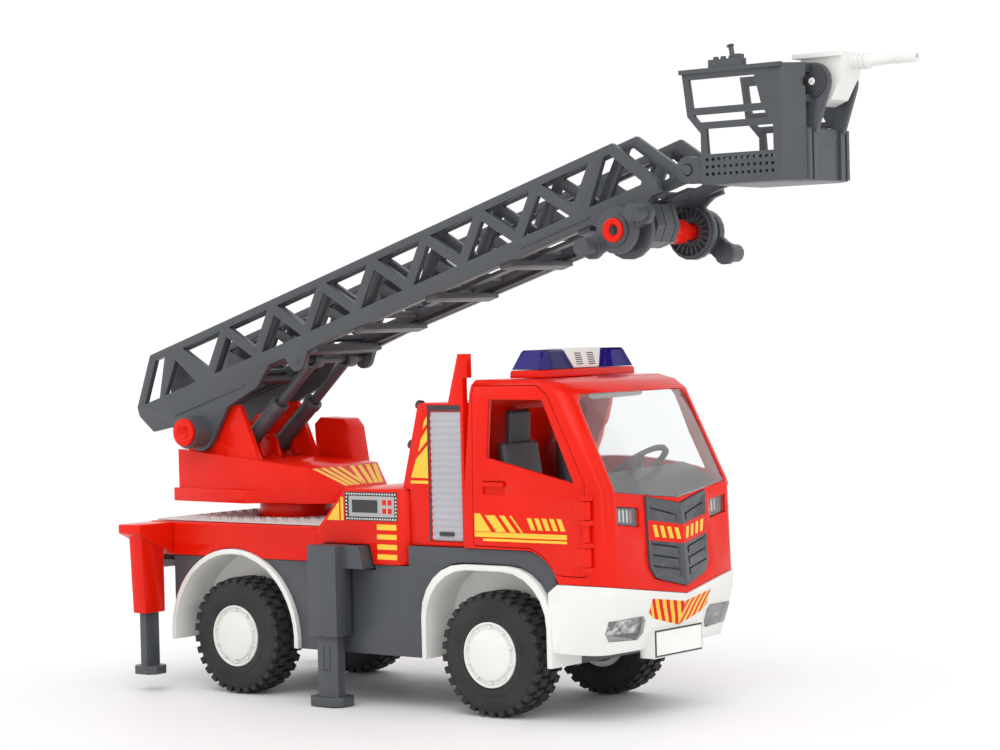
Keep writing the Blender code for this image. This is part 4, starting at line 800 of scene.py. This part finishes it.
def on_ladder(along, y, up):
    """A point given in the ladder's own frame, in vehicle millimetres."""
    cosine, sine = math.cos(TILT), math.sin(TILT)
    return Vector((PIVOT.x + along * cosine - up * sine, y, PIVOT.z + along * sine + up * cosine))


def winch_guard():
    """Housing round the middle of the winch and a ring of fins on the far bracket."""
    builder = bmesh.new()
    outline = [(290.0, 18.6), (290.0, 8.0), (294.0, 1.6), (303.0, 1.6), (308.5, 8.0), (308.5, 18.6)]
    for y_low, y_high in ((-15.0, -9.0), (-8.4, -1.0), (-0.4, 3.0)):
        near = [builder.verts.new(on_ladder(along, y_low, up)) for along, up in outline]
        far = [builder.verts.new(on_ladder(along, y_high, up)) for along, up in outline]
        add_prism(builder, near, far)
    fins = 22
    for k in range(fins):
        add_knob(builder, Vector((SHAFT.x, 0.0, SHAFT.z)), math.tau * k / fins, 9.2, 23.7, (4.2, 1.8, 0.7))
    add_lathe(builder, [(11.6, 22.6), (12.4, 22.6), (12.4, 24.6), (11.6, 24.6)],
              (SHAFT.x, 0.0, SHAFT.z))
    return builder


placed(winch_guard(), "winch_guard", "grey", body_of("outer_ladder"))


def bracket_ribs():
    """Raised lines along the lower edge of the near and far brackets of the outer ladder."""
    builder = bmesh.new()
    for side in (-1, 1):
        for up, first, last in ((21.2, 236.0, 280.0), (13.2, -16.0, 40.0)):
            low, high = sorted((side * 27.2, side * 28.0))
            corners = [on_ladder(first, low, up), on_ladder(last, low, up), on_ladder(last, low, up + 0.9),
                       on_ladder(first, low, up + 0.9)]
            add_slab(builder, corners, -(high - low))
    return builder


placed(bracket_ribs(), "bracket_ribs", "grey", body_of("outer_ladder"))


def tread_ribs():
    """Short ribs that cross at right angles, clear of the turntable's pedestal."""
    builder = bmesh.new()
    pitch, pedestal_x, pedestal_r = 4.0, -4.0, 24.0
    for row in range(25):
        for column in range(28):
            x, y = -55.0 + column * pitch, -48.0 + row * pitch
            if math.hypot(x - pedestal_x, y) < pedestal_r:
                continue
            made = add_box(builder, (-1.5, -0.32, 0.0), (1.5, 0.32, 0.34))
            turn = math.radians(45.0 if (row + column) % 2 else -45.0)
            bmesh.ops.transform(builder, verts=made,
                                matrix=Matrix.Translation((x, y, 88.95)) @ Matrix.Rotation(turn, 4, "Z"))
    return builder


# Shapes on the turntable's sloping front, as (X, Y) corners.
WEDGE_RED = [[(30.0, -26.0), (30.0, 26.0), (44.0, 15.0), (44.0, -15.0)]]
WEDGE_BARS = [[(30.2, y), (30.2, y + 3.2), (43.6, y + 3.2 - reach), (43.6, y - reach)]
              for y, reach in ((-24.6, -10.0), (-18.4, -8.0), (-12.2, -6.0), (-6.0, -5.0),
                               (4.0, 5.0), (10.2, 6.0), (16.4, 8.0), (22.0, 10.0))]


def locker_fittings(hand, side):
    """The handle at the foot of the shutter, and two knobs behind the tower."""
    handle, knobs = bmesh.new(), bmesh.new()
    add_box(handle, (137.0, side * 50.9 - 0.5, 85.8), (145.4, side * 50.9 + 0.5, 87.6))
    placed(handle, "shutter_handle_" + hand, "dark", body_of("locker_tower"))
    for x, z in ((117.6, 128.5), (123.2, 148.0)):
        start = Vector((x, side * 44.0, z))
        add_rod(knobs, start, start + Vector((-2.0, 0, 0.6)), 1.6, sides=16)
        add_rod(knobs, start + Vector((-1.8, 0, 0.5)), start + Vector((-4.0, 0, 1.2)), 2.6, 2.2, 20)
    placed(knobs, "tower_knobs_" + hand, "dark", body_of("locker_tower"))


def roof_housing():
    """The light housing under the cab's roof, behind the windscreen."""
    builder = bmesh.new()
    add_rod(builder, (207.0, -18.0, 152.2), (207.0, 18.0, 152.2), 2.2)
    add_box(builder, (204.0, -14.0, 153.0), (210.0, 14.0, 157.6))
    return builder


placed(tread_ribs(), "tread_ribs", "tread", body_of("bed_tread_plate"))
film("wedge_red", ["turntable"], "top", "film_red", WEDGE_RED, 0.08)
film("wedge_bars", ["turntable"], "top", "film_yellow", WEDGE_BARS, 0.16)
for hand, side in SIDES:
    locker_fittings(hand, side)
placed(roof_housing(), "roof_housing", "white", body_of("cab_shell"))


# ---- floor, light and camera ------------------------------------------------------------
def looking(ahead):
    """The turn that points a light along a direction."""
    return Vector(ahead).to_track_quat("-Z", "Y").to_euler()


def area_light(name, shape, size, power, place, aim):
    data = bpy.data.lights.new(name, "AREA")
    data.shape = shape
    data.size, data.size_y = size
    data.energy = power
    light = in_scene(name, data)
    light.location = place
    light.rotation_euler = looking(Vector(aim) - Vector(place))


def studio():
    """A white floor under a white sky, a wide weak sun and three small lights for the sheen."""
    builder = bmesh.new()
    bmesh.ops.create_grid(builder, x_segments=1, y_segments=1, size=6.0)
    floor = in_scene("floor", mesh_of(builder, "floor"))
    material, principled = shader("floor", (0.90, 0.90, 0.90), 0.6)
    tint = ramp(material, noise(material, 3.0), [(0.3, (0.89, 0.89, 0.89)), (0.7, (0.91, 0.91, 0.91))])
    material.node_tree.links.new(tint, principled.inputs["Base Color"])
    floor.data.materials.append(material)
    world = bpy.data.worlds.new("studio")
    bpy.context.scene.world = world
    world.use_nodes = True
    sky = world.node_tree.nodes["Background"]
    sky.inputs["Color"].default_value = (1.0, 1.0, 1.0, 1.0)
    sky.inputs["Strength"].default_value = 1.02
    data = bpy.data.lights.new("sun", "SUN")
    data.energy = 0.55
    data.angle = math.radians(40.0)
    sun = in_scene("sun", data)
    sun.rotation_euler = looking((-0.5, 0.9, -1.5))
    area_light("strip", "RECTANGLE", (0.05, 1.6), 2.4, (1.5, -1.5, 0.7), (0.1, 0.0, 0.1))
    area_light("key", "SQUARE", (1.0, 1.0), 1.6, (0.9, -1.3, 1.5), (0.0, 0.0, 0.1))
    area_light("front", "SQUARE", (0.8, 0.8), 1.0, (1.8, -0.2, 0.7), (0.0, 0.0, 0.1))


def photo_camera():
    """The camera that the view is taken from: turned round the object, a little down, and rolled."""
    around, down, roll = math.radians(38.5), math.radians(1.1), math.radians(1.4)
    ahead = Vector((-math.sin(around) * math.cos(down), math.cos(around) * math.cos(down), -math.sin(down)))
    level = Vector((math.cos(around), math.sin(around), 0.0))
    upright = level.cross(ahead)
    up = upright * math.cos(roll) + level * math.sin(roll)
    right = level * math.cos(roll) - upright * math.sin(roll)
    data = bpy.data.cameras.new("photo_camera")
    data.lens = 94.0
    data.sensor_width = 36.0
    camera = in_scene("photo_camera", data)
    matrix = Matrix((right, up, -ahead)).transposed().to_4x4()
    matrix.translation = Vector((946.0, -1018.5, 187.0)) * MM + SHIFT
    camera.matrix_world = matrix
    bpy.context.scene.camera = camera
    bpy.context.scene.view_settings.view_transform = "Standard"


studio()
photo_camera()
